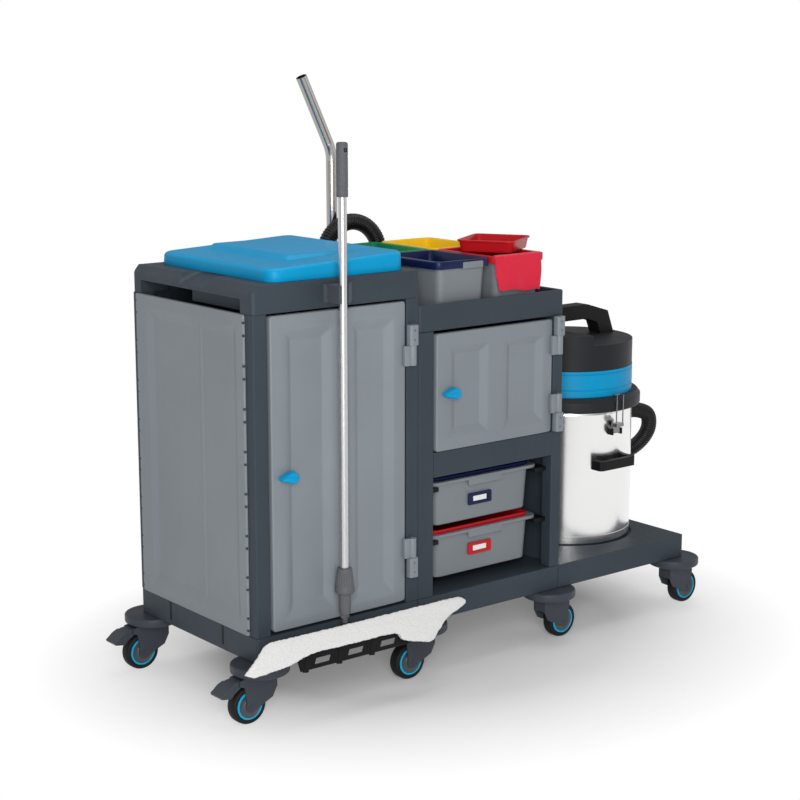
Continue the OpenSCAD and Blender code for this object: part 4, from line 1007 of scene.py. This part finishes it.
def on_mop_plane(x, y, z):
    """Millimetres across, down and off the sloping mop plate as a place in metres."""
    forward, up = -0.5 * y - 0.866 * z, -0.866 * y + 0.5 * z
    return MOP_PLANE[0] + x / 1000, MOP_PLANE[1] + forward / 1000, MOP_PLANE[2] + up / 1000


def plate_hooks():
    """Cloth hooks of the mop plate, outlines given a thickness, in millimetres on the plate.

    Slanting teeth stand beside each window and slanting jambs in it."""
    first, pitch = 86, 104
    tooth = np.array([(-4, 57), (11, 57), (-7, 92), (-21, 89)], float)
    left = np.array([(-1, 61), (30, 61), (18, 77), (-1, 77)], float)
    right = np.array([(76, 61), (85, 61), (85, 77), (64, 77)], float)
    out = []
    for k in range(3):
        for outline, low, high in ((tooth, -6, 1.6), (left, -5.6, -0.6), (right, -5.6, -0.6)):
            x, y = outline.T + np.array([[first + pitch * k], [0]])
            rows = on_mop_plane(*np.broadcast_arrays(x, y, np.array([[low], [high]])))
            out.append(skin("hook", np.stack(rows, -1), "black"))
    o = joined("mop_plate_hooks", out)
    done(o, "mop_head", slot="black_plastic")
    b = o.modifiers.new("edges", "BEVEL")
    b.width = 0.0009
    b.segments = 2


plate_hooks()


def mop_cloth():
    """Thick microfibre pad on the sloping plate, in millimetres on the plate.

    Closed cross-sections between its upper and lower outlines, plump in the middle, roughened by summed waves
    whose own places wander, so that the pile looks tufted."""
    upper = [(-105, 60), (-60, 30), (-15, 0), (60, -1), (250, 0), (480, 0), (579, 0), (606, 3), (622, 14)]
    lower = [
        (-105, 60), (-75, 72), (-20, 69), (28, 65), (105, 50), (230, 51), (362, 53), (384, 74), (430, 88),
        (470, 96), (502, 76), (546, 47), (596, 31), (617, 22), (622, 14),
    ]
    sections, around = 320, 72
    middle, half_thick, pile = 6.0, 5.4, 0.55

    def along(line):
        q = smooth(line, 10)
        s = lengths(q)
        u = np.linspace(0, s[-1], sections)
        return np.stack([np.interp(u, s, q[:, k]) for k in range(2)], -1)[:, None]

    a, b = along(upper), along(lower)
    t = np.linspace(0, TAU, around, endpoint=False)[None]
    share = (0.5 - 0.5 * np.cos(t))[..., None]
    x, y = np.moveaxis(a * (1 - share) + b * share, -1, 0)
    plump = np.clip(np.linalg.norm(b - a, axis=-1) / 30, 0, 1) ** 0.5
    bulge = np.abs(np.sin(t)) ** 0.45 * np.sign(np.sin(t))
    p = x + 8.0 * np.sin(0.061 * x + 0.19 * y) + 5.0 * np.sin(0.143 * x - 0.11 * y + 2.0)
    q = y + 7.0 * np.sin(0.083 * x - 0.13 * y + 1.0) + 4.0 * np.sin(0.171 * x + 0.23 * y)
    rough = (
        np.sin(0.21 * p + 0.33 * q) * np.sin(0.17 * p - 0.41 * q + 1.7)
        + 0.5 * np.sin(0.43 * p + 0.2 * q + 0.4) * np.sin(0.61 * q - 0.11 * p)
        + 0.25 * np.sin(0.83 * p + 0.7 * q) * np.cos(1.11 * q - 0.5 * p)
    )
    z = middle + bulge * (half_thick * plump) + np.where(bulge > 0, pile * rough * plump, 0)
    y = y + 1.1 * np.sin(0.39 * p) * np.sin(0.19 * x + 1) * (np.abs(np.cos(t)) ** 6)
    P = np.stack(on_mop_plane(x, y, z), -1)
    o = make("mop_pad", P, quads(sections, around, closed=True), "white_cloth")
    done(o, "mop_head", "mop_cloth", sharp=75)


mop_cloth()


# Casters

CASTER_X = (-0.760, -0.240, 0.240, 0.760)
WHEEL_X = (-0.802, -0.282, 0.282, 0.802)
CASTER_Y = 0.260
AXLE_HEIGHT = 0.050


def row_y(k):
    """Depth of a caster: the first four stand in front, the others behind."""
    return -CASTER_Y if k <= 4 else CASTER_Y


def bumpers():
    """Bumper discs, turned: a rounded rim, a shallow step on top and a stem hole below."""
    bore, foot, top = 0.0081, 0.127, 0.1504
    profile = [(bore, foot), (0.067, foot)] + arc((0.0695, 0.1335), 0.0065, -90, 0, 6)
    profile += arc((0.0710, 0.146), 0.005, 0, 90, 6)
    profile += [(0.060, 0.151), (0.0595, top), (bore, top), (bore, foot)]
    out = [lathe("disc", profile, (CASTER_X[(k - 1) % 4], row_y(k), 0), "caster", 72) for k in CASTERS]
    done(joined("bumper_discs", out), "cart", "caster_bumpers")


bumpers()


def wheel(k):
    """Wheel, turned, alike on both faces: a dark hub with a stepped dish, a blue ring and a round tyre."""
    hub = [(0.0051, 0.0178), (0.0165, 0.0178), (0.0180, 0.0168), (0.0195, 0.0150)]
    hub += [(0.0305, 0.0148), (0.0320, 0.0158)]
    ring = [(0.0326, 0.0168), (0.0346, 0.0172), (0.0366, 0.0168)]
    tyre = [(0.0374, 0.0152), (0.0386, 0.0164), (0.0420, 0.0170), (0.0455, 0.0163), (0.0480, 0.0142)]
    tyre += [(0.0494, 0.0112), (0.0500, 0.0060)]
    right = hub + ring + tyre
    left = [(r, -h) for r, h in right]
    parts = [0] * len(hub) + [1] * len(ring) + [2] * (len(tyre) - 1)
    at = (WHEEL_X[(k - 1) % 4], row_y(k), AXLE_HEIGHT)
    o = lathe("wheel_%d_turned" % k, left + right[::-1] + left[:1], at, ["hub", "ring", "tyre"], 88,
        axis=1, index=parts + [2] + parts[::-1] + [0])
    done(o, "wheel_%d" % k, "wheel_%d" % k)


for k in CASTERS:
    wheel(k)
